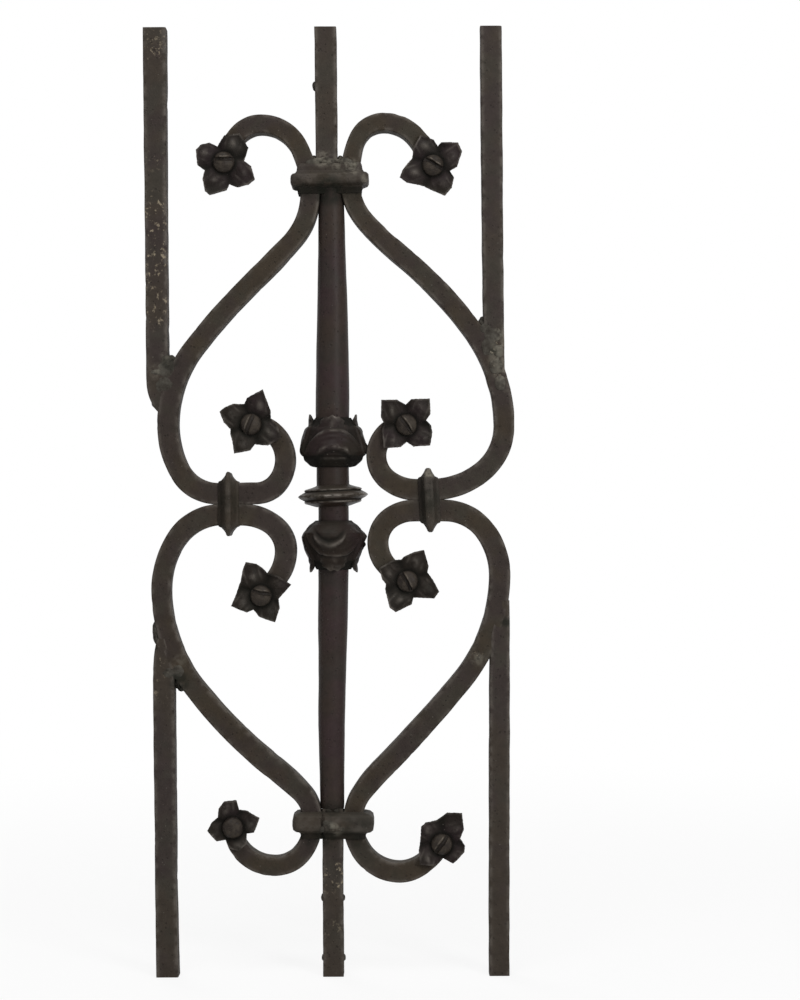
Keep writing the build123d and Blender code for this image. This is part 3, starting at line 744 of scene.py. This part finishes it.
# Each rosette's worn outline: the direction of each corner and how far out it stands
rosette_corners = {
    "hook_upper_left": [
        (4, 12.3), (30, 17.3), (60, 20.0), (88, 16.3), (112, 10.7), (126, 14.6), (143, 17.3), (156, 18.3),
        (186, 16.0), (202, 12.6), (217, 16.2), (237, 20.9), (247, 21.8), (276, 17.1), (284, 13.7),
        (299, 17.6), (318, 20.5), (331, 21.6), (352, 16.7),
    ],
    "hook_upper_right": [
        (25, 19.5), (42, 20.4), (70, 14.8), (76, 12.0), (88, 15.2), (112, 19.7), (140, 15.8), (160, 13.3),
        (178, 15.9), (190, 19.0), (200, 21.4), (214, 19.0), (246, 13.7), (263, 14.8), (291, 19.8),
        (310, 17.7), (330, 14.7), (342, 10.8), (356, 14.7),
    ],
    "curl_upper_left": [
        (14, 12.4), (35, 14.6), (60, 18.3), (71, 22.3), (98, 16.1), (108, 13.0), (131, 16.5), (147, 18.9),
        (158, 20.4), (176, 16.5), (193, 12.8), (204, 13.7), (224, 15.5), (240, 20.4), (268, 15.9),
        (281, 12.4), (308, 16.5), (335, 20.2), (355, 16.2),
    ],
    "curl_upper_right": [
        (12, 12.4), (24, 16.1), (48, 21.3), (79, 15.8), (92, 12.3), (110, 16.2), (135, 21.4), (164, 16.0),
        (174, 13.7), (196, 15.2), (226, 19.7), (255, 14.1), (271, 10.5), (288, 14.0), (319, 19.2),
        (343, 16.5), (359, 15.0),
    ],
    "curl_lower_left": [
        (20, 19.7), (48, 16.0), (74, 14.4), (86, 16.8), (98, 19.5), (114, 22.3), (124, 19.3), (144, 15.0),
        (157, 14.6), (175, 14.8), (199, 19.0), (230, 13.3), (242, 9.7), (265, 12.8), (298, 18.3),
        (326, 13.7), (349, 10.9),
    ],
    "curl_lower_right": [
        (3, 15.5), (24, 13.3), (36, 15.8), (62, 21.5), (78, 18.1), (98, 15.1), (106, 13.8), (125, 15.8),
        (155, 19.1), (176, 15.3), (186, 13.3), (200, 14.5), (235, 19.2), (249, 20.0), (280, 14.2),
        (290, 10.6), (327, 19.2), (342, 20.2),
    ],
    "hook_lower_left": [
        (20, 17.6), (49, 13.8), (70, 11.5), (82, 17.0), (107, 17.0), (125, 14.6), (145, 11.0), (164, 13.0),
        (186, 15.4), (219, 12.5), (239, 8.7), (262, 12.6), (285, 14.1), (310, 12.9), (336, 9.3),
        (348, 13.4),
    ],
    "hook_lower_right": [
        (17, 11.8), (34, 16.2), (57, 22.6), (80, 19.6), (101, 15.0), (126, 16.4), (139, 16.5), (172, 13.2),
        (196, 14.6), (222, 18.0), (250, 13.5), (274, 8.5), (301, 13.3), (341, 14.4), (355, 14.2),
    ],
}


def outline_reach(corners, swing):
    """How far an outline with straight sides reaches in each direction from its centre."""
    turns = np.radians([turn for turn, reach in corners])
    reach = np.array([reach for turn, reach in corners])
    spots = reach[:, None] * np.stack([np.cos(turns), np.sin(turns)], 1)
    following = np.searchsorted(turns, swing, side="right") % len(turns)
    start, end = spots[following - 1], spots[following]
    way = end - start
    across = np.cos(swing) * way[:, 1] - np.sin(swing) * way[:, 0]
    return (start[:, 0] * end[:, 1] - start[:, 1] * end[:, 0]) / across


def rosette(node, eye, turn, seed, finish):
    """Four petals of bent sheet, each with a pressed boss, cut to its own worn outline."""
    rng = np.random.default_rng(seed)
    lifts = rng.uniform(-0.6, 2.2, 4)
    bosses = rng.uniform(1.5, 2.1, 4)
    corners = rosette_corners[node.removeprefix("rosette_")]
    rings = 22
    just_past_corners = np.radians([corner_turn + 0.01 for corner_turn, _ in corners])
    swing = np.sort(np.concatenate([np.arange(132) * 2 * pi / 132, just_past_corners]))
    around = len(swing)
    local = (swing - radians(turn) + pi / 4) % (2 * pi)
    petal = (local // (pi / 2)).astype(int) % 4
    local = local % (pi / 2) - pi / 4
    reach = outline_reach(corners, swing) - 0.25 * rng.random(around)
    share = (np.linspace(0.0, 1, rings) ** 0.85)[1:]
    radius = share[:, None] * reach[None]
    sideways = radius * np.sin(local)[None]
    outward = radius * np.cos(local)[None]
    rise = 0.09 * np.maximum(outward - 6.0, 0) * (1 + lifts[petal] * 0.5)[None]
    rise = rise - 0.012 * lifts[petal][None] * np.maximum(outward - 12, 0) ** 2
    leaning = sideways - 0.35 * (lifts[petal] - 0.8)[None] * (outward - 12)
    boss = np.exp(-((outward - 12.0) / 3.6) ** 2 - (leaning / (2.7 + 0.5 * lifts[petal][None])) ** 2)
    rise = rise + bosses[petal][None] * boss
    rise = rise + 0.05 * np.maximum(np.abs(sideways) - 5, 0) ** 1.6
    crease = bell(np.abs(local) - pi / 4, 0.2)[None] * smooth(4, 9, radius)
    rise = rise - 1.1 * crease
    side_fold = bell(np.abs(leaning) - 4.6, 0.7) * smooth(8, 11, outward)
    curl = smooth(0.85, 1.0, share)[:, None] * (0.6 + 0.5 * np.sin(3 * swing + seed))[None]
    rise = rise + 0.35 * side_fold + 0.7 * curl
    front = np.stack([eye[0] + radius * np.cos(swing), -bar / 2 - rosette_sheet - rise,
                      eye[1] + radius * np.sin(swing)], -1).reshape(-1, 3)
    ruffle = 0.55 * bumps(front, 5, seed) + 0.2 * bumps(front, 2.2, seed + 1)
    front[:, 1] += ruffle * smooth(6, 10, radius.ravel())
    centre = np.array([[eye[0], -bar / 2 - rosette_sheet, eye[1]]])
    front = np.concatenate([centre, front])
    back = front + [0, 1.3, 0]
    rim = np.repeat((share > 0.94).astype(float), around)
    worn = np.concatenate([[0], np.maximum(0.7 * rim, (0.75 * boss ** 2 + 0.4 * side_fold).ravel())])
    # Painted shade round the screw head, in the creases between the petals and at the centre.
    shade = np.maximum(bell(radius - 6.8, 1.6), 0.8 * crease)
    hollow = np.concatenate([[1], shade.ravel()])
    draft(node + "_pressed", node, "rosette_iron", finish, np.concatenate([front, back]),
          disc_faces(rings - 1, around), crease=50, worn=np.tile(worn, 2), hollow=np.tile(hollow, 2))


def disc_faces(rings, around):
    """The faces of a thin round sheet: fans at its centres, rings of quads and a rim."""
    count = 1 + rings * around
    faces = []
    for spot in range(around):
        following = (spot + 1) % around
        faces.append((0, 1 + spot, 1 + following))
        faces.append((count, count + 1 + following, count + 1 + spot))
        for ring in range(rings - 1):
            low, high = 1 + ring * around, 1 + (ring + 1) * around
            quad = (low + spot, high + spot, high + following, low + following)
            faces.append(quad)
            faces.append(tuple(count + corner for corner in reversed(quad)))
        outer = 1 + (rings - 1) * around
        faces.append((outer + spot, count + outer + spot, count + outer + following, outer + following))
    return faces


# Each screw's slot, worn or filled: its depth and how far it stands off the middle
screw_wear = {
    "hook_upper_left": (1.6, 1.6), "hook_upper_right": (1.9, 0.8), "hook_lower_left": (0.3, 0.4),
    "hook_lower_right": (1.7, 0.2), "curl_upper_left": (1.3, 0.8), "curl_upper_right": (1.4, -0.4),
    "curl_lower_left": (1.5, 1.7), "curl_lower_right": (1.8, -0.8),
}


def screw(node, eye, turn, seed, finish):
    """A worn round head with a shallow slot, which has a raised lip on one side."""
    rings, around = 30, 90
    slot_depth, shift = screw_wear[node.removeprefix("screw_")]
    swing = np.arange(around) * 2 * pi / around
    share = np.linspace(0, 1, rings)[1:]
    radius = 6.45 * share[:, None] * (1 + 0.02 * np.sin(3 * swing + seed))[None]
    dome = 4.7 * np.sqrt(np.maximum(1 - (radius / 6.7) ** 2, 0.0)) - 0.7
    x = radius * np.cos(swing)[None]
    z = radius * np.sin(swing)[None]
    spin = radians(turn)
    across = -x * sin(spin) + z * cos(spin) - shift + 0.2 * np.sin(x * 0.7 + seed)
    slotted = smooth(1.35, 0.6, np.abs(across))
    lips = 0.3 * bell(across - 1.8, 0.6) * smooth(6, 4, radius) * (slot_depth > 1)
    height = np.maximum(dome - slot_depth * slotted + lips, 0.25)
    front = np.stack([eye[0] + x, -bar / 2 - 1.6 - height, eye[1] + z], -1).reshape(-1, 3)
    front[:, 1] += 0.5 * bumps(front, 3.4, seed) * smooth(0, 1, 6.4 - radius.ravel())
    centre = np.array([[eye[0], front[:around, 1].mean(), eye[1]]])
    front = np.concatenate([centre, front])
    back = front * [1, 0, 1] + [0, -bar / 2 - 1.2, 0]
    worn = np.concatenate([[0], smooth(0.1, 0.3, lips).ravel()])
    # Painted shade in the slot, deeper for a deeper slot, and round the edge of the head.
    shade = np.maximum(slotted * min(slot_depth / 2, 1), smooth(5.5, 6.4, radius))
    hollow = np.concatenate([[0], shade.ravel()])
    draft(node + "_driven", node, "screw_steel", finish, np.concatenate([front, back]),
          disc_faces(rings - 1, around), worn=np.tile(worn, 2), hollow=np.tile(hollow, 2))


# How many rings a lump has, and how many points a ring
lump_rings, lump_around = 13, 24


def fused(name, slot, finish, blobs, seed, voxel=0.55):
    """Lumps of weld or caulk run together into one skin, each by its middle and its half sizes."""
    verts, faces = [], []
    swing = np.linspace(0, 2 * pi, lump_around, endpoint=False)
    tilt = np.linspace(0.02, pi - 0.02, lump_rings)
    round_ball = np.stack([np.outer(np.sin(tilt), np.cos(swing)), np.outer(np.sin(tilt), np.sin(swing)),
                           np.outer(np.cos(tilt), np.ones(lump_around))], -1).reshape(-1, 3)
    for x, y, z, wide, deep, tall in blobs:
        ball = round_ball * (1 + 0.22 * bumps(round_ball * 6, 3.2, seed))[:, None]
        faces += counted_on(ring_faces(lump_rings, lump_around), len(verts))
        verts += (ball * [wide, deep, tall] + [x, y, z]).tolist()
        seed += 1
    mesh = bpy.data.meshes.new(name + "_lumps")
    mesh.from_pydata((np.array(verts) * MM).tolist(), [], faces)
    lumps = placed(name + "_lumps", mesh)
    skin = lumps.modifiers.new("skin", "REMESH")
    skin.mode = "VOXEL"
    skin.voxel_size = voxel * MM
    soften = lumps.modifiers.new("soften", "SMOOTH")
    soften.iterations = 2
    graph = bpy.context.evaluated_depsgraph_get()
    made = lumps.evaluated_get(graph).to_mesh()
    points = np.array([vertex.co for vertex in made.vertices]) / MM
    faces = [tuple(polygon.vertices) for polygon in made.polygons]
    bpy.data.objects.remove(lumps)
    bpy.data.meshes.remove(mesh)
    normals = points - points.mean(0)
    normals /= np.linalg.norm(normals, axis=1)[:, None]
    points = points + normals * (0.3 * bumps(points, 2.4, seed))[:, None]
    draft(name, None, slot, finish, points, faces, worn=np.full(len(points), 0.15))


def joints(finish):
    """The weld in each crotch, and the caulk and lumps round the collars."""
    front = -bar / 2
    fused("weld_upper_left", "bar_iron", finish, [
        (-97.2, 0, 367.6, 3.4, 6.0, 4.4), (-95.8, 0, 371.2, 2.3, 5.4, 2.0), (-98.6, 0, 359, 3.2, 6.2, 5),
        (-97.6, front + 0.3, 373.0, 4.6, 0.9, 2.0), (-104.6, front + 0.35, 364.6, 4.8, 0.8, 1.9),
        (-99, front + 0.3, 367, 5.6, 0.7, 6.0), (-106.6, 0, 348.5, 2.4, 5.2, 5),
        (-100.6, front + 0.4, 357, 6, 0.7, 5),
    ], 61)
    fused("weld_upper_right", "bar_iron", finish, [
        (92.4, 0, 392, 2.6, 5.8, 4), (91.8, 0, 396.0, 1.8, 5, 1.9), (90.4, 0, 393.6, 1.6, 5, 2.2),
        (98, front, 386, 5.6, 1.2, 4.4), (101, front, 376, 3.4, 1.2, 4), (95, front, 379, 4.6, 1.1, 5.6),
        (99.6, front, 367, 4.2, 1.2, 4.8), (102.2, 0, 368, 2.6, 6.4, 5), (93, front, 390, 3.8, 0.8, 3),
        (102, front, 357, 3.6, 0.9, 5.0), (103, -4, 379, 1.7, 2.6, 3.4),
    ], 63)
    fused("weld_lower_left", "bar_iron", finish, [
        (-92.8, 0, 178, 3.2, 6.0, 4.6), (-91.0, 0, 173.6, 2.4, 5.6, 1.9),
        (-98, front + 0.4, 183, 5.0, 0.8, 3.6), (-93, front + 0.35, 184, 4.6, 0.8, 5),
        (-96, 0, 186, 3.4, 6.0, 6), (-106.1, 0, 208, 2.5, 5.8, 7), (-105.6, 0, 202.5, 1.9, 5.6, 3),
    ], 65)
    fused("weld_lower_right", "bar_iron", finish, [
        (91.6, 0, 194.6, 2.8, 6.0, 4.8), (92.6, 0, 190.6, 2.0, 5.3, 2.0),
        (88.4, front + 0.2, 191.5, 2.0, 0.7, 2.6),
    ], 67)
    fused("caulk_top_collar", "collar_iron", finish, [
        (-4, front, 491.6, 6.4, 1.3, 2.0), (3, front, 490.4, 6.0, 1.5, 2.2),
        (9, front - 0.3, 490.6, 4.4, 1.5, 2.6), (14, front - 0.8, 488.2, 3.4, 1.9, 2.4),
        (-10.4, front + 0.2, 490.0, 4.0, 1.4, 2.4),
        (-9.4, 0, 493.0, 2.0, 5.6, 2.6), (6.4, 0, 492.8, 2.0, 5.6, 2.6),
        (-6, front - 1.2, 487.2, 5, 1, 0.8),
        (4, front - 1.6, 485.8, 7, 1, 0.7), (12, front - 1.6, 485.4, 4, 1.1, 0.9),
    ], 69, 0.45)
    fused("lumps_bottom_collar", "collar_iron", finish, [
        (-2.6, front - 0.4, 99.8, 1.8, 1.3, 1.3), (2.2, front - 0.4, 99.8, 1.7, 1.3, 1.3),
        (0.2, front - 6.6, 92.6, 4.6, 1.3, 3.0), (-3.4, front - 6.3, 93.6, 2.4, 1.2, 2.2),
        (5.6, front - 6.4, 91.0, 3.4, 1.0, 3.0), (-6.0, front - 6.1, 89.8, 1.6, 0.8, 2.0),
    ], 71, 0.45)
    fused("nub_centre_bar", "bar_iron", finish, [
        (-8.8, 0, 537.4, 1.8, 2.8, 2.9), (-6.2, 0.2, 46.8, 1.2, 4.8, 2.2), (6.1, 0.2, 46.4, 1.2, 4.6, 2.0),
        (-6.0, 0.2, 10.6, 1.1, 4.6, 2.0), (6.3, 0.2, 10.4, 1.1, 4.6, 2.0),
    ], 73, 0.45)


class Value:
    """A number that varies over a surface, worked with as in plain arithmetic."""

    def __init__(self, finish, socket):
        self.finish = finish
        self.socket = socket

    def worked(self, operation, first, second):
        return self.finish.node("ShaderNodeMath", {"operation": operation}, {0: first, 1: second})

    def __add__(self, other):
        return self.worked("ADD", self, other)

    __radd__ = __add__

    def __sub__(self, other):
        return self.worked("SUBTRACT", self, other)

    def __rsub__(self, other):
        return self.worked("SUBTRACT", other, self)

    def __mul__(self, other):
        return self.worked("MULTIPLY", self, other)

    __rmul__ = __mul__


class Nodes:
    """A node tree, each of whose nodes is added by one call."""

    def __init__(self, tree):
        self.tree = tree

    def node(self, kind, settings, sockets, output=0):
        """Add a node with its settings and inputs, and give one of its outputs."""
        made = self.tree.nodes.new(kind)
        for setting, value in settings.items():
            setattr(made, setting, value)
        for socket, value in sockets.items():
            self.join(made.inputs[socket], value)
        return Value(self, made.outputs[output])

    def between(self, value, low, high):
        """0 below low, 1 above high, and a soft rise between."""
        return self.node("ShaderNodeMapRange", {"interpolation_type": "SMOOTHSTEP"},
                         {"Value": value, "From Min": low, "From Max": high})

    def join(self, socket, value):
        """Feed an input with another node's output or with a constant."""
        if isinstance(value, Value):
            self.tree.links.new(value.socket, socket)
        else:
            socket.default_value = value


class Finish(Nodes):
    """A material for the iron, with the patterns that its finishes share."""

    def __init__(self, name, **constants):
        self.material = bpy.data.materials.new(name)
        self.material.use_nodes = True
        super().__init__(self.material.node_tree)
        self.shader = self.tree.nodes["Principled BSDF"]
        for socket, value in constants.items():
            self.shader.inputs[socket.replace("_", " ")].default_value = value
        self.place = self.node("ShaderNodeTexCoord", {}, {}, "Object")

    def mottle(self, size, seed, detail=3.0, roughness=0.55):
        """Soft noise from 0 to 1 whose patches are about size across, in millimetres."""
        return self.node("ShaderNodeTexNoise", {"noise_dimensions": "4D"}, {
            "Vector": self.place, "W": seed, "Scale": 1 / (size * MM), "Detail": detail,
            "Roughness": roughness})

    def cells(self, size):
        """The distance from the nearest of many scattered points, size apart."""
        sockets = {"Vector": self.place, "Scale": 1 / (size * MM)}
        return self.node("ShaderNodeTexVoronoi", {}, sockets, "Distance")

    def mark(self, name):
        """How much of a mark, such as wear, each point of the piece carries."""
        return self.node("ShaderNodeAttribute", {"attribute_name": name}, {}, "Fac")

    def patchy(self, name, low, high, *noise):
        """A mark broken up by noise: none of it where the noise is under low, all over high."""
        return self.mark(name) * self.between(self.mottle(*noise), low, high)

    def blend(self, share, first, second):
        """Two colours mixed by a share from 0 to 1."""
        return self.node("ShaderNodeMix", {"data_type": "RGBA"}, {0: share, 6: first, 7: second}, 2)

    def shade(self, colour, amount):
        """A colour made lighter or darker by a factor."""
        sockets = {"Vector": colour, "Scale": amount}
        return self.node("ShaderNodeVectorMath", {"operation": "SCALE"}, sockets)

    def upward(self):
        """How far a surface faces up, from -1 to 1."""
        normal = self.node("ShaderNodeNewGeometry", {}, {}, "Normal")
        return self.node("ShaderNodeSeparateXYZ", {}, {"Vector": normal}, "Z")

    def coat(self, colour, roughness, height, metallic=None, depth=0.0005):
        """Feed the shader, with the height as relief of the given depth in metres."""
        relief = self.node("ShaderNodeBump", {}, {"Height": height, "Distance": depth, "Strength": 1.0})
        links = {"Base Color": colour, "Roughness": roughness, "Normal": relief}
        if metallic:
            links["Metallic"] = metallic
        for socket, value in links.items():
            self.join(self.shader.inputs[socket], value)
        return self.material


def rgba(red, green, blue):
    """A solid colour, from its linear red, green and blue."""
    return (red, green, blue, 1.0)


def old_iron(name, tones, light, rough, seed, grain=1.0, gloss=0.06):
    """Dark forged iron: three tones in patches, mill scale, pits, worn edges and painted highlights, old
    paint and caulk, grime, painted shade, and painted light on faces turned up.
    """
    brown, plum, green = tones
    finish = Finish(name, Specular_IOR_Level=gloss)
    patches = finish.between(finish.mottle(34, seed), 0.42, 0.62)
    clouds = finish.between(finish.mottle(19, seed + 3.1, 4), 0.46, 0.66)
    colour = finish.blend(patches, rgba(*brown), rgba(*plum))
    colour = finish.blend(clouds * 0.75, colour, rgba(*green))
    scale = finish.mottle(5.5, seed + 6.2, 5, 0.65)
    sand = finish.mottle(1.1, seed + 8.4, 3, 0.7)
    colour = finish.shade(colour, 0.45 + scale * 0.75 + sand * 0.35)
    pits = 1 - finish.between(finish.cells(3.1) + finish.mottle(7, seed + 5) * 0.55, 0.34, 0.5)
    colour = finish.blend(pits * 0.4, colour, rgba(0.008, 0.007, 0.006))
    # Paler on faces turned up: dust, and painted light from above.
    up = finish.upward()
    colour = finish.blend(finish.between(up, 0.25, 0.95) * 0.2, colour, rgba(0.075, 0.067, 0.055))
    # Lighter where worn: real wear on edges and proud parts, and on the knops painted highlights on the
    # lips, the right ear and the low ridge.
    rubbed = finish.patchy("worn", 0.36, 0.62, 6, seed + 1.7, 4)
    colour = finish.blend(rubbed * light, colour, rgba(0.12, 0.106, 0.092))
    # Painted shade: the colour is darkened almost to black in grooves, slots, creases, under lips and
    # where parts meet, and made rougher there.
    hollow = finish.mark("hollow")
    colour = finish.blend(hollow * 0.8, colour, rgba(0.006, 0.006, 0.005))
    # Grime and painted shade: darker under the collars, by the clips and at the joints.
    grime_and_painted_shade = finish.patchy("grime_and_painted_shade", 0.3, 0.55, 5, seed + 2.2)
    colour = finish.blend(grime_and_painted_shade * 0.75, colour, rgba(0.008, 0.0095, 0.007))
    caulk = finish.patchy("caulk", 0.4, 0.62, 4.2, seed + 4.4, 4)
    colour = finish.blend(caulk * 0.75, colour, rgba(0.17, 0.155, 0.125))
    flecks = finish.patchy("paint", 0.56, 0.66, 2.6, seed + 7.3, 3, 0.7)
    colour = finish.blend(flecks * 0.85, colour, rgba(0.29, 0.24, 0.17))
    specks = 1 - finish.between(finish.cells(6.5), 0.03, 0.06)
    colour = finish.blend(specks * 0.4, colour, rgba(0.16, 0.15, 0.13))
    roughness = rough + scale * 0.22 - rubbed * 0.16 + caulk * 0.2 + grime_and_painted_shade * 0.15 + hollow * 0.4
    height = scale * 0.55 + sand * (0.25 * grain) - pits * 0.5 + caulk * 0.5 + flecks * 0.25
    return finish.coat(colour, roughness, height, rubbed * 0.2, 0.00035)


def screw_finish(seed):
    """Brown rusted steel, rubbed on the lips of its slot."""
    finish = Finish("rusted screw steel", Specular_IOR_Level=0.12)
    rust = finish.between(finish.mottle(3.5, seed, 4), 0.35, 0.65)
    colour = finish.blend(rust, rgba(0.020, 0.0155, 0.0125), rgba(0.040, 0.032, 0.0245))
    sand = finish.mottle(0.7, seed + 2, 3, 0.7)
    colour = finish.shade(colour, 0.6 + sand * 0.7)
    rubbed = finish.patchy("worn", 0.35, 0.6, 2.5, seed + 1)
    colour = finish.blend(rubbed * 0.55, colour, rgba(0.13, 0.112, 0.09))
    # Painted shade in the slot and round the edge of the head.
    colour = finish.blend(finish.mark("hollow") * 0.85, colour, rgba(0.008, 0.006, 0.005))
    height = sand * 0.5 + rust * 0.4
    return finish.coat(colour, 0.45 + rust * 0.2 - rubbed * 0.1, height, rubbed * 0.3, 0.0003)


def weld_finish(seed):
    """Lumpy weld and old filler, with painted light on its tops and painted shade in its hollows."""
    finish = Finish("old weld and filler", Specular_IOR_Level=0.06)
    lumps = finish.mottle(4.5, seed, 5, 0.65)
    # Painted light and shade: the colour follows the noise that also raises the relief, pale on the lumps'
    # tops and dark between them.
    painted_lump_light = finish.between(lumps, 0.35, 0.68)
    colour = finish.blend(painted_lump_light, rgba(0.024, 0.020, 0.016), rgba(0.060, 0.055, 0.046))
    caulk = finish.patchy("caulk", 0.36, 0.6, 3.6, seed + 2, 4)
    colour = finish.blend(caulk * 0.75, colour, rgba(0.19, 0.175, 0.14))
    # Grime and painted shade round the joints.
    grime_and_painted_shade = finish.patchy("grime_and_painted_shade", 0.3, 0.6, 5, seed + 3)
    colour = finish.blend(grime_and_painted_shade * 0.8, colour, rgba(0.008, 0.0095, 0.007))
    flecks = finish.patchy("paint", 0.57, 0.65, 2.2, seed + 5, 3, 0.7)
    colour = finish.blend(flecks * 0.8, colour, rgba(0.33, 0.29, 0.22))
    sand = finish.mottle(0.9, seed + 4, 3, 0.7)
    return finish.coat(colour, 0.62 + sand * 0.15, lumps * 0.7 + sand * 0.3, None, 0.0005)


def build_grille():
    """Every piece of the panel, in its own finish."""
    bars = old_iron("worn bar iron",
                    [(0.0375, 0.030, 0.0235), (0.0335, 0.026, 0.0235), (0.035, 0.031, 0.025)],
                    0.45, 0.55, 1.0)
    scrolls = old_iron("hammered scroll iron",
                       [(0.035, 0.027, 0.019), (0.031, 0.024, 0.021), (0.034, 0.030, 0.023)],
                       0.4, 0.52, 21.0)
    turned_iron = old_iron("hand polished baluster iron",
                           [(0.029, 0.021, 0.017), (0.029, 0.019, 0.019), (0.024, 0.020, 0.017)],
                           0.8, 0.34, 41.0, 0.6, 0.08)
    disc_iron = old_iron("rubbed disc iron",
                         [(0.026, 0.019, 0.0135), (0.024, 0.017, 0.013), (0.023, 0.019, 0.0135)],
                         1.0, 0.3, 47.0, 0.6, 0.08)
    leaf_iron = old_iron("chased leaf iron",
                         [(0.017, 0.0125, 0.0095), (0.018, 0.012, 0.0115), (0.0165, 0.0145, 0.0115)],
                         0.85, 0.34, 61.0, 0.7, 0.06)
    collar_iron = old_iron("swaged collar iron",
                           [(0.033, 0.026, 0.0195), (0.029, 0.023, 0.020), (0.032, 0.029, 0.023)],
                           0.5, 0.48, 81.0)
    petal_iron = old_iron("pressed rosette sheet",
                          [(0.0145, 0.0115, 0.009), (0.0165, 0.0115, 0.0115), (0.016, 0.0145, 0.0115)],
                          0.65, 0.42, 101.0, 0.8, 0.06)
    steel = screw_finish(121.0)
    for number, (name, form) in enumerate(forgings.items()):
        forged_scroll(name, 11 + number, scrolls)
        ends = ("hook", form.hook_eye, form.hook_turns), ("curl", form.curl_eye, form.curl_turns)
        for end, eye, (turn, slot_turn) in ends:
            spot = in_place(form, np.array([[eye.reach, eye.rise]]))[0]
            seed = 200 + 10 * number + (5 if end == "curl" else 0)
            rosette("rosette_%s_%s" % (end, name), spot, turn, seed, petal_iron)
            screw("screw_%s_%s" % (end, name), spot, slot_turn, seed + 3, steel)
    for number, node in enumerate(bar_rows):
        square_bar(node, 21 + number, bars)
    baluster(turned_iron, disc_iron)
    knop("knop_upper", 1, 3, leaf_iron)
    knop("knop_lower", -1, 6, leaf_iron)
    collars(collar_iron)
    joints(weld_finish(141.0))


camera_distance = 1.3
view_centre = (0.0414, 0.2869)
view_height = 0.605
roll = radians(0.25)


def camera():
    """A camera level with the panel's middle, a little to the right of its axis."""
    lens = bpy.data.cameras.new("camera")
    lens.lens = lens.sensor_width * camera_distance / view_height
    body = placed("camera", lens)
    body.location = (view_centre[0], -camera_distance, view_centre[1])
    body.rotation_euler = (pi / 2, roll, 0)
    bpy.context.scene.camera = body


def lamp(name, place, aim, size, power):
    """A soft square lamp turned towards a point."""
    light = bpy.data.lights.new(name, "AREA")
    light.size = size
    light.energy = power
    body = placed(name, light)
    body.location = place
    body.rotation_euler = (Vector(aim) - Vector(place)).to_track_quat("-Z", "Y").to_euler()
    return body


def white_to_the_eye(nodes, lit, whiteness, out):
    """Show the camera and reflections a nearly white surface, and light the scene with the lit one."""
    path = nodes.tree.nodes.new("ShaderNodeLightPath")
    kinds = ("Camera", "Glossy", "Transmission")
    rays = [Value(nodes, path.outputs["Is %s Ray" % kind]) for kind in kinds]
    white = nodes.node("ShaderNodeEmission", {}, {})
    seen = (rays[0] + rays[1] + rays[2]) * whiteness
    nodes.join(out, nodes.node("ShaderNodeMixShader", {}, {0: seen, 1: lit, 2: white}))


# The paper sweep, in metres: its front edge, where and how tightly it bends up, its top and width
floor_front = -4.0
bend_start = 1.2
bend_radius = 0.8
backdrop_top = 3.6
sweep_half_width = 3.5


def studio():
    """A pale floor and backdrop in one sweep, a soft world and three soft lamps."""
    sweep = bpy.data.materials.new("pale paper")
    sweep.use_nodes = True
    nodes = Nodes(sweep.node_tree)
    paper = nodes.node("ShaderNodeBsdfDiffuse", {}, {"Color": (0.82, 0.82, 0.82, 1)})
    place = nodes.node("ShaderNodeNewGeometry", {}, {}, "Position")
    distance = nodes.node("ShaderNodeVectorMath", {"operation": "LENGTH"}, {"Vector": place}, "Value")
    whiteness = 0.86 + nodes.between(distance, 0.3, 1.1) * 0.14
    white_to_the_eye(nodes, paper, whiteness, nodes.tree.nodes["Material Output"].inputs["Surface"])
    rows = [(floor_front, 0.0), (bend_start, 0.0)]
    rows += [(bend_start + sin(turn) * bend_radius, bend_radius - cos(turn) * bend_radius)
             for turn in np.linspace(0.1, pi / 2, 16)]
    rows += [(bend_start + bend_radius, backdrop_top)]
    verts = [(x, y, z) for y, z in rows for x in (-sweep_half_width, sweep_half_width)]
    faces = [(2 * row, 2 * row + 1, 2 * row + 3, 2 * row + 2) for row in range(len(rows) - 1)]
    mesh = bpy.data.meshes.new("paper_sweep")
    mesh.from_pydata(verts, [], faces)
    mesh.shade_smooth()
    mesh.materials.append(sweep)
    placed("paper_sweep", mesh)
    world = bpy.data.worlds.new("soft world")
    bpy.context.scene.world = world
    world.use_nodes = True
    nodes = Nodes(world.node_tree)
    soft = nodes.node("ShaderNodeBackground", {}, {"Color": (1, 1, 1, 1), "Strength": 0.3})
    white_to_the_eye(nodes, soft, 1.0, nodes.tree.nodes["World Output"].inputs["Surface"])
    lamp("top_soft_lamp", (-0.1, -0.8, 1.7), (0, 0, 0.3), 0.8, 13)
    lamp("front_soft_lamp", (0.95, -1.4, 0.8), (0, 0, 0.29), 0.5, 16)
    lamp("back_soft_lamp", (-0.5, 0.95, 1.1), (0, 0, 0.29), 0.6, 5).visible_glossy = False


camera()
studio()
build_grille()

bpy.context.scene.view_settings.view_transform = "Standard"
